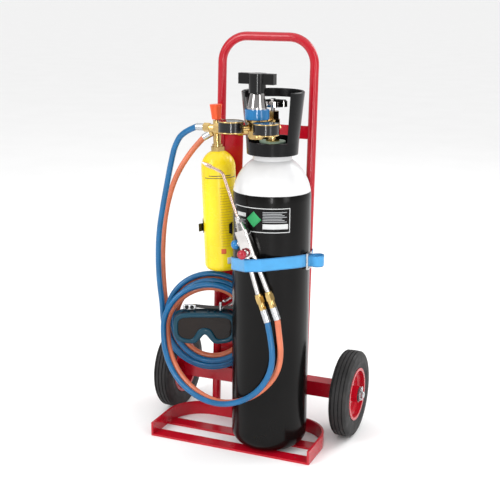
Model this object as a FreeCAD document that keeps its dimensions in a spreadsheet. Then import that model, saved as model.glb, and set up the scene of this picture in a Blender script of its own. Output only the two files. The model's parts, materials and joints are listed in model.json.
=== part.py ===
"""Oxygen and fuel gas torch cart: a two-wheeled hand trolley that carries an oxygen cylinder, a
disposable fuel bottle, a regulator, a torch, twin hoses and welding goggles.

Units are millimetres. +Z is up, +X is to the right and -Y is the front, where the torch hangs.
The origin is on the floor, under the tray's centre bar and midway between the wheels.
"""
import FreeCAD, Part
import math
import os
import Sketcher

V = FreeCAD.Vector
Turn = FreeCAD.Rotation
doc = FreeCAD.newDocument("TorchCart")

# ---------------------------------------------------------------- driving dimensions
DIMENSIONS = {
    # tray
    "tray_width": 388,
    "tray_front": 94,
    "tray_back": 77,
    "tray_corner": 85,
    "rim_height": 32,
    "flat_bar_thick": 5,
    "flat_bar_width": 32,
    # back frame
    "tube_dia": 20,
    "tube_wall": 2,
    "upright_spacing": 222,
    "hoop_top": 906,
    "hoop_bend": 60,
    "foot_back": 87.2,
    "crossbar_size": 35,
    "crossbar_wall": 2.5,
    "crossbar_length": 387,
    "crossbar_back": 98.5,
    "crossbar_level": 106,
    "panel_thick": 3,
    "panel_edge": 56,
    "panel_top": 702,
    # wheels
    "wheel_dia": 200,
    "wheel_track": 442,
    "wheel_width": 44,
    "rim_dia": 116,
    "axle_dia": 16,
    "axle_back": 104,
    "running_fit": 0.06,
    # oxygen cylinder
    "cylinder_dia": 170,
    "cylinder_wall": 6,
    "cylinder_side": 68,
    "cylinder_back": -13,
    "shoulder_start": 568.3,
    "shoulder_bend": 100,
    "neck_radius": 42,
    "guard_height": 145,
    "outlet_level": 722,
    # regulator
    "regulator_reach": 76,
    "gauge_dia": 52,
    "gauge_depth": 24,
    "gauge_reach": 56,
    "knob_bar": 80,
    # fuel bottle
    "bottle_dia": 78,
    "bottle_side": 238,
    "bottle_dome": 40,
    # hoses
    "hose_dia": 13,
    "coil_radius": 98,
    "coil_level": 247,
}

sheet = doc.addObject("Spreadsheet::Sheet", "Dims")


class Size:
    """A number that remembers the spreadsheet formula that it comes from."""

    def __init__(self, value, formula):
        self.value = float(value)
        self.formula = formula

    def __add__(self, other):
        other = as_size(other)
        return Size(self.value + other.value, f"({self.formula} + {other.formula})")

    def __sub__(self, other):
        other = as_size(other)
        return Size(self.value - other.value, f"({self.formula} - {other.formula})")

    def __mul__(self, factor):
        return Size(self.value * factor, f"({self.formula} * {factor})")

    def __truediv__(self, divisor):
        return Size(self.value / divisor, f"({self.formula} / {divisor})")

    def __neg__(self):
        return Size(-self.value, f"(0 - {self.formula})")

    def __radd__(self, other):
        return as_size(other) + self

    def __rsub__(self, other):
        return as_size(other) - self


def as_size(number):
    if isinstance(number, Size):
        return number
    text = f"{number:g}" if number >= 0 else f"(0 - {-number:g})"
    return Size(number, text)


class Sizes:
    """The spreadsheet's cells as attributes."""


d = Sizes()
for row, (alias, number) in enumerate(DIMENSIONS.items(), start=1):
    sheet.set(f"A{row}", alias)
    sheet.set(f"B{row}", str(number))
    sheet.setAlias(f"B{row}", alias)
    setattr(d, alias, Size(number, f"Dims.{alias}"))
doc.recompute()


# ---------------------------------------------------------------- places that several pieces share
class Place:
    """Where a group of pieces stands: its base point and its turn."""

    def __init__(self, base=(0, 0, 0), turn=None):
        self.base = base
        self.turn = turn or Turn()


Z_TO_X = Turn(V(0, 1, 0), 90)
Z_TO_MINUS_X = Turn(V(0, 1, 0), -90)
Z_TO_Y = Turn(V(1, 0, 0), -90)
Z_TO_MINUS_Y = Turn(V(1, 0, 0), 90)

FRAME_LEAN = 2.52
VALVE_YAW = -4
GUARD_YAW = 13
BOTTLE_TILT = -2.4
TORCH_TILT = -20.5
HANG_YAW = 22.7


def yaw(degrees):
    return Turn(V(0, 0, 1), degrees)


WORLD = Place()
FRAME = Place((0, d.foot_back, 0), Turn(V(1, 0, 0), -FRAME_LEAN))
WHEEL_RIGHT = Place((d.wheel_track / 2, d.axle_back, d.wheel_dia / 2), Z_TO_X)
WHEEL_LEFT = Place((-d.wheel_track / 2, d.axle_back, d.wheel_dia / 2), Z_TO_MINUS_X)
CYLINDER = Place((d.cylinder_side, d.cylinder_back, d.flat_bar_thick))
VALVE = Place((d.cylinder_side, d.cylinder_back, d.flat_bar_thick), yaw(VALVE_YAW))
GUARD = Place((d.cylinder_side, d.cylinder_back, d.flat_bar_thick), yaw(GUARD_YAW))
REACH_X = math.sin(math.radians(VALVE_YAW))
REACH_Y = math.cos(math.radians(VALVE_YAW))
REGULATOR = Place(
    (
        d.cylinder_side + d.regulator_reach * REACH_X,
        d.cylinder_back - d.regulator_reach * REACH_Y,
        d.flat_bar_thick,
    ),
    yaw(VALVE_YAW),
)
BOTTLE = Place((-80, 54, 378.5), Turn(V(0, 1, 0), BOTTLE_TILT))
TORCH = Place((29, -111, 545), Turn(V(0, 1, 0), TORCH_TILT))
HANG = Place((-94.7, 47.4, 0), yaw(HANG_YAW))


def in_world(place, local):
    """A point of a group's own frame, in the part's frame."""
    base = V(*[as_size(value).value for value in place.base])
    return base + place.turn.multVec(V(*[as_size(value).value for value in local]))


def in_other(place, other, local, turn=None):
    """A point and a turn of one group's frame, in another group's frame."""
    back = other.turn.inverted()
    point = back.multVec(in_world(place, local) - in_world(other, (0, 0, 0)))
    return tuple(point), back.multiply(place.turn).multiply(turn or Turn())


def put(obj, at=(0, 0, 0), turn=None):
    """Places an object and binds each coordinate that comes from the spreadsheet."""
    where = [as_size(value) for value in at]
    obj.Placement = FreeCAD.Placement(V(*[w.value for w in where]), turn or Turn())
    for axis, w in zip("xyz", where):
        if "Dims" in w.formula:
            obj.setExpression(f"Placement.Base.{axis}", w.formula)
    return obj


NODES = []


def node(label, obj, place=WORLD):
    """Names a finished piece and stands it in its place."""
    parts = obj if isinstance(obj, list) else [obj]
    if parts[0].isDerivedFrom("PartDesign::Body"):
        piece = obj
    else:
        piece = doc.addObject("Part::Compound", label)
        piece.Links = parts
    piece.Label = label
    NODES.append(put(piece, place.base, place.turn))
    return piece


# ---------------------------------------------------------------- Part primitives and booleans
def primitive(kind, at, turn, **sizes):
    obj = doc.addObject(f"Part::{kind}", kind)
    for name, value in sizes.items():
        obj.setExpression(name, as_size(value).formula)
    return put(obj, at, turn)


def rod(radius, length, at=(0, 0, 0), turn=None):
    return primitive("Cylinder", at, turn, Radius=radius, Height=length)


def cone(radius_low, radius_high, length, at=(0, 0, 0), turn=None):
    return primitive("Cone", at, turn, Radius1=radius_low, Radius2=radius_high, Height=length)


def ball(radius, at=(0, 0, 0)):
    return primitive("Sphere", at, None, Radius=radius)


def block(size_x, size_y, size_z, middle_bottom=(0, 0, 0)):
    """A box whose point given is the middle of its bottom face."""
    x, y, z = middle_bottom
    corner = (as_size(x) - as_size(size_x) / 2, as_size(y) - as_size(size_y) / 2, z)
    return primitive("Box", corner, None, Length=size_x, Width=size_y, Height=size_z)


def hexagon(across_flats, length, at=(0, 0, 0), turn=None):
    obj = primitive(
        "Prism", at, turn, Circumradius=across_flats / math.sqrt(3), Height=length
    )
    obj.Polygon = 6
    return obj


def fuse(*pieces):
    obj = doc.addObject("Part::MultiFuse", "Fuse")
    obj.Shapes = list(pieces)
    return obj


def cut(base, *tools):
    obj = doc.addObject("Part::Cut", "Cut")
    obj.Base = base
    obj.Tool = tools[0] if len(tools) == 1 else fuse(*tools)
    return obj


def common(*pieces):
    obj = doc.addObject("Part::MultiCommon", "Common")
    obj.Shapes = list(pieces)
    return obj


def ring(outer, inner, length, at=(0, 0, 0), turn=None):
    """A plain tube or washer."""
    hole = rod(inner, as_size(length) + 2, (0, 0, -1))
    return put(cut(rod(outer, length), hole), at, turn)


# ---------------------------------------------------------------- PartDesign bodies
def drawn(body, role, outlines, circles=(), closed=True):
    """A fully driven sketch on one of the body's own origin planes.

    An outline is a list of points (u, v) or (u, v, bend). A bend makes the edge to the next point
    an arc of that radius, turning left if it is positive and right if it is negative.
    """
    sketch = body.newObject("Sketcher::SketchObject", body.Name + "Sketch")
    plane = [f for f in body.Origin.OriginFeatures if f.Role == role][0]
    sketch.AttachmentSupport = [(plane, "")]
    sketch.MapMode = "FlatFace"

    def fix(geometry, end, u, v):
        for kind, axis, value in (("DistanceX", -2, as_size(u)), ("DistanceY", -1, as_size(v))):
            if value.value == 0:
                sketch.addConstraint(Sketcher.Constraint("PointOnObject", geometry, end, axis))
                continue
            number = sketch.addConstraint(
                Sketcher.Constraint(kind, -1, 1, geometry, end, value.value)
            )
            sketch.setExpression(f"Constraints[{number}]", value.formula)

    for outline in outlines:
        ends = outline[1:] + outline[:1] if closed else outline[1:]
        previous = None
        for start, finish in zip(outline, ends):
            a = V(as_size(start[0]).value, as_size(start[1]).value, 0)
            b = V(as_size(finish[0]).value, as_size(finish[1]).value, 0)
            first, last = 1, 2
            if len(start) == 2:
                edge = sketch.addGeometry(Part.LineSegment(a, b), False)
            else:
                bend = as_size(start[2])
                radius = abs(bend.value)
                across = (b - a).cross(V(0, 0, -1)) * (1 if bend.value > 0 else -1)
                across.normalize()
                rise = math.sqrt(max(radius**2 - (b - a).Length ** 2 / 4, 0))
                centre = (a + b) * 0.5 + across * rise
                low, high = (a, b) if bend.value > 0 else (b, a)
                angles = [math.atan2(p.y - centre.y, p.x - centre.x) for p in (low, high)]
                circle = Part.Circle(centre, V(0, 0, 1), radius)
                edge = sketch.addGeometry(Part.ArcOfCircle(circle, *angles), False)
                number = sketch.addConstraint(Sketcher.Constraint("Radius", edge, radius))
                size = bend if bend.value > 0 else -bend
                sketch.setExpression(f"Constraints[{number}]", size.formula)
                if bend.value < 0:
                    first, last = 2, 1
            fix(edge, first, start[0], start[1])
            if previous is not None:
                sketch.addConstraint(Sketcher.Constraint("Coincident", *previous, edge, first))
            else:
                opening = (edge, first)
            previous = (edge, last)
        if closed:
            sketch.addConstraint(Sketcher.Constraint("Coincident", *previous, *opening))
        else:
            fix(*previous, *outline[-1][:2])

    for u, v, radius in circles:
        centre = V(as_size(u).value, as_size(v).value, 0)
        edge = sketch.addGeometry(Part.Circle(centre, V(0, 0, 1), as_size(radius).value), False)
        number = sketch.addConstraint(Sketcher.Constraint("Radius", edge, as_size(radius).value))
        sketch.setExpression(f"Constraints[{number}]", as_size(radius).formula)
        fix(edge, 3, u, v)
    return sketch


def new_body(label):
    return doc.addObject("PartDesign::Body", label)


def turned(label, outline, place=WORLD):
    """A piece turned about its own Z axis from an outline of (radius, height) points."""
    body = new_body(label)
    sketch = drawn(body, "XZ_Plane", [outline])
    spin = body.newObject("PartDesign::Revolution", label + "Turned")
    spin.Profile = sketch
    spin.ReferenceAxis = (sketch, ["V_Axis"])
    spin.Angle = 360
    return node(label, body, place)


def padded(label, role, outlines, length, circles=(), place=WORLD, both_ways=False, flip=False):
    """A piece of even thickness, drawn on one of the origin planes."""
    body = new_body(label)
    pad = body.newObject("PartDesign::Pad", label + "Pad")
    pad.Profile = drawn(body, role, outlines, circles)
    pad.setExpression("Length", as_size(length).formula)
    pad.Midplane = both_ways
    pad.Reversed = flip
    return node(label, body, place)


def pocket(body, role, outlines, length, both_ways=False, flip=False, circles=()):
    doc.recompute()
    before = body.Shape.Volume
    hole = body.newObject("PartDesign::Pocket", body.Name + "Pocket")
    hole.Profile = drawn(body, role, outlines, circles)
    hole.setExpression("Length", as_size(length).formula)
    hole.Midplane = both_ways
    hole.Reversed = flip
    doc.recompute()
    assert body.Shape.Volume < before - 1, f"{body.Label}: a pocket cuts nothing"
    return hole


def upright_edge(edge):
    box = edge.BoundBox
    return box.ZLength > 1 and box.XLength < 0.01 and box.YLength < 0.01


def rectangle(u, v, width, height):
    u, v, w, h = as_size(u), as_size(v), as_size(width) / 2, as_size(height) / 2
    return [(u - w, v - h), (u + w, v - h), (u + w, v + h), (u - w, v + h)]


# ---------------------------------------------------------------- tray
def make_tray():
    half, back, bend, thick = d.tray_width / 2, d.tray_back, d.tray_corner, d.flat_bar_thick
    front = -d.tray_front
    rim = [
        (-half, front),
        (-half, back - bend, -bend),
        (bend - half, back),
        (half - bend, back, -bend),
        (half, back - bend),
        (half, front),
        (half - thick, front),
        (half - thick, back - bend, bend - thick),
        (half - bend, back - thick),
        (bend - half, back - thick, bend - thick),
        (thick - half, back - bend),
        (thick - half, front),
    ]
    rim_piece = padded("tray_rim", "XY_Plane", [rim], d.rim_height)
    span = d.tray_width - thick * 2
    front_bar = block(span, d.flat_bar_width, thick, (0, d.flat_bar_width / 2 + front, 0))
    middle_bar = block(span, d.flat_bar_width, thick, (0, -5, 0))
    node("tray_bars", [front_bar, cut(middle_bar, rim_piece)])


# ---------------------------------------------------------------- back frame
CROSSBAR_TOP = d.crossbar_level + d.crossbar_size / 2
CROSSBAR_BOTTOM = d.crossbar_level - d.crossbar_size / 2
LEAN_GAP = 0.6


def make_hoop():
    side, top, bend = d.upright_spacing / 2, d.hoop_top, d.hoop_bend
    start = CROSSBAR_TOP + LEAN_GAP
    body = new_body("handle_hoop")
    path = drawn(
        body,
        "XZ_Plane",
        [
            [
                (-side, start),
                (-side, top - bend, -bend),
                (bend - side, top),
                (side - bend, top, -bend),
                (side, top - bend),
                (side, start),
            ]
        ],
        closed=False,
    )
    radius = d.tube_dia / 2
    section = drawn(
        body, "XY_Plane", [], [(-side, 0, radius), (-side, 0, radius - d.tube_wall)]
    )
    section.AttachmentOffset = FreeCAD.Placement(V(0, 0, start.value), Turn())
    section.setExpression("AttachmentOffset.Base.z", start.formula)
    pipe = body.newObject("PartDesign::AdditivePipe", "HoopPipe")
    pipe.Profile = section
    pipe.Spine = path
    node("handle_hoop", body, FRAME)


def make_frame():
    make_hoop()
    radius, side = d.tube_dia / 2, d.upright_spacing / 2
    leg = CROSSBAR_BOTTOM - 0.8 - LEAN_GAP
    legs = [ring(radius, radius - d.tube_wall, leg, (s, 0, 1)) for s in (-side, side)]
    node("frame_legs", legs, FRAME)

    half, inner = d.crossbar_size / 2, d.crossbar_size / 2 - d.crossbar_wall
    level = d.crossbar_level
    padded(
        "axle_crossbar",
        "YZ_Plane",
        [
            rectangle(d.crossbar_back, level, half * 2, half * 2),
            rectangle(d.crossbar_back, level, inner * 2, inner * 2),
        ],
        d.crossbar_length,
        both_ways=True,
    )
    plug_long = 8
    plug_start = d.crossbar_length / 2 - plug_long
    plugs = []
    for end in (-plug_start - plug_long, plug_start):
        bore = rod(d.axle_dia / 2, plug_long + 2, (end - 1, d.axle_back, d.wheel_dia / 2), Z_TO_X)
        side_long = inner * 2 - 0.1
        square = primitive(
            "Box",
            (end, d.crossbar_back - side_long / 2, level - side_long / 2),
            None,
            Length=plug_long,
            Width=side_long,
            Height=side_long,
        )
        plugs.append(cut(square, bore))
    node("axle_end_plugs", plugs)

    edge, thick = d.panel_edge, d.panel_thick
    seam = side - radius - 0.05
    low = CROSSBAR_TOP + 0.5
    strap_level, strap_slot = 396, 44
    padded(
        "back_panel",
        "XZ_Plane",
        [
            [(-seam, low), (-edge, low), (-edge, d.panel_top), (-seam, d.panel_top)],
            rectangle(-edge - 9, strap_level, 5, strap_slot),
        ],
        thick,
        circles=[(CLIP_SIDE, level, 2.6) for level in CLIP_SCREW_LEVELS],
        place=FRAME,
        both_ways=True,
    )
    plate_high, plate_low = 29, 684
    plate_bar = block(side * 2, 5, plate_high, (0, -4.1, plate_low))
    uprights = [rod(radius, 60, (s, 0, plate_low - 10)) for s in (-side, side)]
    node("top_cross_plate", cut(plate_bar, *uprights), FRAME)

    peg_long = 56
    peg_side, peg_level = -70, 301
    peg = rod(4, peg_long, (peg_side, -thick / 2, peg_level), Z_TO_MINUS_Y)
    peg_end = ball(4, (peg_side, -thick / 2 - peg_long, peg_level))
    hook_long, hook_level, hook_side, hook_radius = 99, 292.2, -60, 2.8
    hook = rod(hook_radius, hook_long, (hook_side, -thick / 2, hook_level), Z_TO_MINUS_Y)
    hook_corner = ball(hook_radius, (hook_side, -thick / 2 - hook_long, hook_level))
    hook_tip = rod(hook_radius, 18, (hook_side, -thick / 2 - hook_long, hook_level))
    node("frame_hooks", [fuse(peg, peg_end), fuse(hook, hook_corner, hook_tip)], FRAME)


CLIP_SIDE = -81
CLIP_SCREW_LEVELS = (470, 494)
SCREW_RADIUS = 2.4


# ---------------------------------------------------------------- wheels and axle
def make_wheels():
    outer, half = d.wheel_dia / 2, d.wheel_width / 2
    seat = d.rim_dia / 2
    shaft = d.axle_dia / 2
    tyre = [(seat, -half + 7), (seat + 4, -half + 3), (outer - 24, -half), (outer - 7, -half + 2, 10)]
    grooves = (-13, -4.5, 4.5, 13)
    groove_half, groove_deep = 1.3, 2.4
    tyre.append((outer - 1, -half + 7))
    for middle in grooves:
        crown = 0.6 if abs(middle) > 10 else 0
        tyre += [
            (outer - crown, middle - groove_half),
            (outer - groove_deep - crown, middle - groove_half * 0.6),
            (outer - groove_deep - crown, middle + groove_half * 0.6),
            (outer - crown, middle + groove_half),
        ]
    tyre += [(outer - 1, half - 7, 10), (outer - 7, half - 2), (outer - 24, half)]
    tyre += [(seat + 4, half - 3), (seat, half - 7)]

    bead, lip, hub, bush = seat - 0.2, seat + 3, 18.5, 13.1
    barrel = seat - 3.5
    rim = [
        (bush, -24),
        (hub, -24),
        (hub + 1, 5),
        (30, 2.5),
        (barrel - 8, 2.5),
        (barrel, 5),
        (barrel, 3 - half),
        (barrel, 2 - half),
        (lip, 2 - half),
        (lip, 3.2 - half),
        (bead, 6.2 - half),
        (bead, half - 6.2),
        (lip, half - 3.2),
        (lip, half - 2),
        (barrel, half - 2),
        (barrel, 10),
        (barrel - 8, 5.5),
        (30, 5.5),
        (hub + 1, 9),
        (hub, 24),
        (bush, 24),
    ]
    shaft_bore = shaft + d.running_fit
    bushing = [
        (shaft_bore, -25),
        (bush - 0.05, -25),
        (bush - 0.05, 24.1),
        (17, 24.1),
        (17, 25.4),
        (shaft_bore, 25.4),
    ]
    for side, place in (("left", WHEEL_LEFT), ("right", WHEEL_RIGHT)):
        turned(f"tyre_{side}", tyre, place)
        turned(f"rim_{side}", rim, place)
        turned(f"bush_{side}", bushing, place)

    level, back = d.wheel_dia / 2, d.axle_back
    axle_half, chamfer = 256.5, 1.5
    axle = fuse(
        rod(shaft, axle_half * 2 - chamfer * 2, (chamfer - axle_half, back, level), Z_TO_X),
        cone(shaft, shaft - chamfer, chamfer, (axle_half - chamfer, back, level), Z_TO_X),
        cone(shaft, shaft - chamfer, chamfer, (chamfer - axle_half, back, level), Z_TO_MINUS_X),
    )
    pin_at, pin_radius = 251.5, 2
    pin_holes = [
        rod(pin_radius, 20, (s * pin_at, back, level - 10)) for s in (-1, 1)
    ]
    node("axle_rod", cut(axle, *pin_holes))

    washer_thick = 2
    starts = (193.6, 246.9)
    washers = []
    for start in starts:
        for at in (start, -start - washer_thick):
            washers.append(ring(14, shaft + 0.1, washer_thick, (at, back, level), Z_TO_X))
    node("axle_washers", washers)

    pins = []
    for s in (-1, 1):
        legs = rod(pin_radius - 0.05, 26, (s * pin_at, back, level - 13))
        eye = primitive("Torus", (s * pin_at, back, level + 15.5), Z_TO_X, Radius1=3.5, Radius2=1.4)
        pins.append(fuse(legs, eye))
    node("cotter_pins", pins)


# ---------------------------------------------------------------- oxygen cylinder and valve
VALVE_BARREL = 15
OUTLET_RADIUS = 12
OUTLET_LONG = 33


def make_cylinder():
    radius, wall = d.cylinder_dia / 2, d.cylinder_wall
    start, bend, neck = d.shoulder_start, d.shoulder_bend, d.neck_radius
    foot_bend = 32
    shoulder_rise = 82.1
    bore = 14
    neck_top = start + 105
    shell = [
        (0, 0),
        (radius - foot_bend, 0, foot_bend),
        (radius, foot_bend),
        (radius, start, bend),
        (neck, start + shoulder_rise),
        (neck, neck_top),
        (bore, neck_top),
        (bore, start + 85),
        (38.9, start + 77, wall - bend),
        (radius - wall, start),
        (radius - wall, foot_bend, wall - foot_bend),
        (radius - foot_bend, wall),
        (0, wall),
    ]
    turned("oxygen_cylinder", shell, CYLINDER)
    guard_seat = start + shoulder_rise
    node("neck_ring", ring(51.2, neck, 9, (0, 0, guard_seat + 13)), CYLINDER)
    node("test_date_ring", ring(28, VALVE_BARREL, 3, (0, 0, neck_top + 13)), CYLINDER)

    base_low, base_high, top = guard_seat + 12, guard_seat + 39, guard_seat + d.guard_height
    guard = turned(
        "valve_guard",
        [
            (51.2, base_low),
            (55, base_low),
            (56.5, base_high),
            (67, top - 2),
            (65.5, top),
            (63, top),
            (62, top - 2),
            (52.2, base_high),
        ],
        GUARD,
    )
    front = [(-46, base_high), (37, base_high), (44, top + 5), (-54, top + 5)]
    pocket(guard, "XZ_Plane", [front], 90, flip=True)
    window_low, window_high = base_high + 6, top - 18
    window = [(-40, window_low), (40, window_low), (46, window_high), (-46, window_high)]
    pocket(guard, "XZ_Plane", [window], 90)


def make_valve():
    neck_top, level = d.shoulder_start + 105, d.outlet_level
    shank = rod(13.8, 24, (0, 0, neck_top - 20))
    barrel = rod(VALVE_BARREL, 62.4, (0, 0, neck_top))
    gland = hexagon(24, 18, (0, 0, 735))
    boss = rod(OUTLET_RADIUS, OUTLET_LONG, (0, 0, level), Z_TO_MINUS_Y)
    relief = hexagon(17, 22, (0, 0, level - 6), Z_TO_Y)
    stem_bore = rod(4 + d.running_fit, 20, (0, 0, 740))
    outlet_bore = rod(4, 30, (0, -12, level), Z_TO_MINUS_Y)
    body = fuse(shank, barrel, gland, boss, relief)
    node("cylinder_valve", cut(body, stem_bore, outlet_bore), VALVE)

    wheel_low, wheel_high, lobes = 763, 775, 6
    disc = rod(28, wheel_high - wheel_low, (0, 0, wheel_low))
    knuckles = []
    for number in range(lobes):
        angle = math.radians(360 / lobes * number)
        at = (25 * math.cos(angle), 25 * math.sin(angle), wheel_low)
        knuckles.append(rod(7.5, wheel_high - wheel_low, at))
    stem = rod(4, 22, (0, 0, wheel_low - 21))
    nut = hexagon(10, 4, (0, 0, wheel_high))
    node("valve_handwheel", fuse(disc, stem, nut, *knuckles), VALVE)


# ---------------------------------------------------------------- regulator
def make_regulator():
    level = d.outlet_level
    gauge_level = level + 8
    gauge_angles = {"high": -45, "low": -135}
    body = [
        rod(19, 30, (0, 0, 708)),
        cone(15, 19, 5, (0, 0, 703)),
        rod(23, 4.8, (0, 0, 738)),
        rod(6, d.regulator_reach - OUTLET_LONG - 16, (0, 16, level), Z_TO_Y),
        rod(9, 16, (-32, 0, level - 3), Z_TO_X),
    ]
    gauge_edge = d.gauge_reach - d.gauge_dia / 2
    gauges = []
    for angle in gauge_angles.values():
        turn = yaw(angle).multiply(Z_TO_X)
        body.append(rod(6, gauge_edge + 2, (0, 0, gauge_level - 4), turn))
        direction = math.radians(angle)
        middle = (d.gauge_reach * math.cos(direction), d.gauge_reach * math.sin(direction))
        gauges.append(rod(d.gauge_dia / 2, 60, (*middle, level - 30)))
    node("regulator_body", cut(fuse(*body), *gauges), REGULATOR)

    nut_start, seat = 24, d.regulator_reach - OUTLET_LONG
    nut = hexagon(29, seat - nut_start + 6, (0, nut_start, level), Z_TO_Y)
    bore = rod(6.05, 40, (0, nut_start - 4, level), Z_TO_Y)
    thread = rod(OUTLET_RADIUS, 30, (0, seat, level), Z_TO_Y)
    node("regulator_inlet_nut", cut(nut, bore, thread), REGULATOR)

    turned("regulator_ring", [(20.2, 743), (25.5, 744), (25.5, 764), (20.2, 765)], REGULATOR)
    turned(
        "regulator_bonnet",
        [(17, 743), (20, 743), (20, 768), (14.5, 795), (8.06, 795), (8.06, 789), (11, 789), (17, 766)],
        REGULATOR,
    )

    barrel_low, barrel_high = 797, 837
    bar_low = 815
    barrel = cone(17, 19, barrel_high - barrel_low, (0, 0, barrel_low))
    bar = block(d.knob_bar, 15, barrel_high - bar_low, (0, 0, bar_low))
    screw = rod(8, 24, (0, 0, barrel_low - 22))
    node("regulator_knob", fuse(barrel, bar, screw), REGULATOR)

    wall = 1.5
    radius, depth = d.gauge_dia / 2, d.gauge_depth
    bottom = gauge_level - depth / 2
    dials = []
    lenses = []
    for name, angle in gauge_angles.items():
        direction = math.radians(angle)
        middle = (d.gauge_reach * math.cos(direction), d.gauge_reach * math.sin(direction))
        case = cut(
            rod(radius, depth, (*middle, bottom)),
            rod(radius - wall, depth, (*middle, bottom + wall)),
        )
        node(f"gauge_{name}_case", case, REGULATOR)
        dials.append(ring(radius - wall - 0.1, 1.6, 1, (*middle, bottom + depth - 7)))
        lenses.append(rod(radius - wall - 0.1, 1.5, (*middle, bottom + depth - 2)))
        needle_level = bottom + depth - 5.4
        east, north = middle
        hub = rod(1.5, 9, (east, north, needle_level - 8))
        cap = rod(3, 1.2, (east, north, needle_level))
        hand = block(17, 1.6, 0.8, (east - 6, north, needle_level + 0.2))
        node(f"gauge_{name}_pointer", fuse(hub, cap, hand), REGULATOR)
    node("gauge_dials", dials, REGULATOR)
    node("gauge_lenses", lenses, REGULATOR)

    start, arrestor_level = -32, level - 3
    steps = [(hexagon, 20, 12), (rod, 10.5, 40), (hexagon, 19, 14), (rod, 8, 12), (hexagon, 17, 14)]
    pieces = []
    at = start
    for make, size, length in steps:
        pieces.append(make(size, length + 0.2, (at, 0, arrestor_level), Z_TO_MINUS_X))
        at -= length
    node("flashback_arrestor", fuse(*pieces), REGULATOR)
    return V(at - 0.2, 0, arrestor_level.value)


# ---------------------------------------------------------------- fuel bottle
NIPPLE_TURN = Turn(V(0, 0, 1), V(-0.85, -0.18, -0.49))
NIPPLE_LEVEL = 322
NIPPLE_END = 18
FERRULE_RADIUS = 7.7


def make_bottle():
    radius, side, dome = d.bottle_dia / 2, d.bottle_side, d.bottle_dome
    wall, foot_bend, mouth, dome_rise = 1.5, 14, 15, 36.7
    turned(
        "fuel_bottle",
        [
            (0, 3),
            (radius - foot_bend - 4, 0),
            (radius - foot_bend, 0, foot_bend),
            (radius, foot_bend),
            (radius, side, dome),
            (mouth, side + dome_rise),
            (mouth - wall, side + dome_rise),
            (mouth - wall, side + 35.5, wall - dome),
            (radius - wall, side),
            (radius - wall, foot_bend, wall - foot_bend),
            (radius - foot_bend, wall),
            (0, 3 + wall),
        ],
        BOTTLE,
    )
    top = side.value + dome_rise
    valve = fuse(
        hexagon(29, 10, (0, 0, top)),
        rod(12, 6, (0, 0, top + 9.5)),
        rod(9, 26, (0, 0, top + 15)),
        ball(12.5, (0, 0, NIPPLE_LEVEL)),
        rod(8, 16, (0, 0, NIPPLE_LEVEL + 6)),
        rod(5.5, NIPPLE_END - 1, (0, 0, NIPPLE_LEVEL), NIPPLE_TURN),
        hexagon(14, 6, tuple(nipple_point(NIPPLE_END - 6)), NIPPLE_TURN),
    )
    stem_bore = rod(3.1, 20, (0, 0, NIPPLE_LEVEL + 8))
    node("fuel_valve_body", cut(valve, stem_bore), BOTTLE)

    knob_low, knob_high, lobes = 346, 379, 6
    core = cone(9, 12.5, knob_high - knob_low, (0, 0, knob_low))
    flutes = []
    for number in range(lobes):
        angle = 360 / lobes * number
        at = (8.4 * math.cos(math.radians(angle)), 8.4 * math.sin(math.radians(angle)), knob_low)
        flutes.append(cone(2.4, 6.4, knob_high - knob_low, at))
    stem = rod(3, 16, (0, 0, knob_low - 15))
    node("fuel_valve_knob", fuse(core, stem, *flutes), BOTTLE)

    make_clip()


def nipple_point(distance):
    """A point on the fuel outlet's axis, in the bottle's own frame."""
    return V(0, 0, NIPPLE_LEVEL) + NIPPLE_TURN.multVec(V(0, 0, distance))


def make_clip():
    radius, gap, thick = d.bottle_dia / 2, 0.3, 1.6
    low, high = 78, 124
    inner = radius + gap
    band = ring(inner + thick, inner, high - low, (0, 0, low))
    mouth = primitive(
        "Wedge", (0, 0, 0), None, Xmin=-60, Xmax=60, X2min=-30, X2max=30, Ymin=-70, Ymax=-21,
        Zmin=low - 5, Zmax=high + 5, Z2min=low - 5, Z2max=high + 5,
    )
    taper = padded_taper(low, high)
    foot = block(22, 14, high - low, (0, inner + thick + 6, low))
    panel_at, panel_turn = in_other(FRAME, BOTTLE, (-200, -d.panel_thick / 2, 300))
    tools = [primitive("Box", panel_at, panel_turn, Length=300, Width=40, Height=400)]
    for level in CLIP_SCREW_LEVELS:
        at, turn = in_other(FRAME, BOTTLE, (CLIP_SIDE, d.panel_thick / 2 - 9, level), Z_TO_Y)
        tools.append(rod(SCREW_RADIUS, 20, at, turn))
    body = cut(fuse(common(cut(band, mouth), taper), foot), *tools)
    lips = []
    for s, long in ((-1, 12), (1, 12)):
        flare = Turn(V(0, 0, 1), s * 28)
        at = V(s * (inner.value * 0.855 + 0.9), -inner.value * 0.53, (low + high) / 2 - 9)
        at += flare.multVec(V(-thick / 2, -long, 0))
        lips.append(primitive("Box", tuple(at), flare, Length=thick, Width=long, Height=18))
    node("bottle_clip", fuse(body, *lips), BOTTLE)

    screws = []
    for level in CLIP_SCREW_LEVELS:
        head = rod(4.5, 2.5, (CLIP_SIDE, d.panel_thick / 2, level), Z_TO_Y)
        shank = rod(SCREW_RADIUS, 9, (CLIP_SIDE, d.panel_thick / 2 - 8.9, level), Z_TO_Y)
        screws.append(fuse(head, shank))
    node("clip_screws", screws, FRAME)


def padded_taper(low, high):
    """A wedge, seen from the side, that narrows the clip's arms towards their tips."""
    middle = (low + high) / 2
    tall, tip = high - low, 20
    return primitive(
        "Wedge", (0, 0, 0), None, Xmin=-60, Xmax=60, X2min=-60, X2max=60, Ymin=-25, Ymax=50,
        Zmin=middle - tip / 2, Zmax=middle + tip / 2, Z2min=middle - tall, Z2max=middle + tall,
    )


# ---------------------------------------------------------------- torch
TORCH_NUT_END = -206
TORCH_TUBE_SIDE = 12


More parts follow.
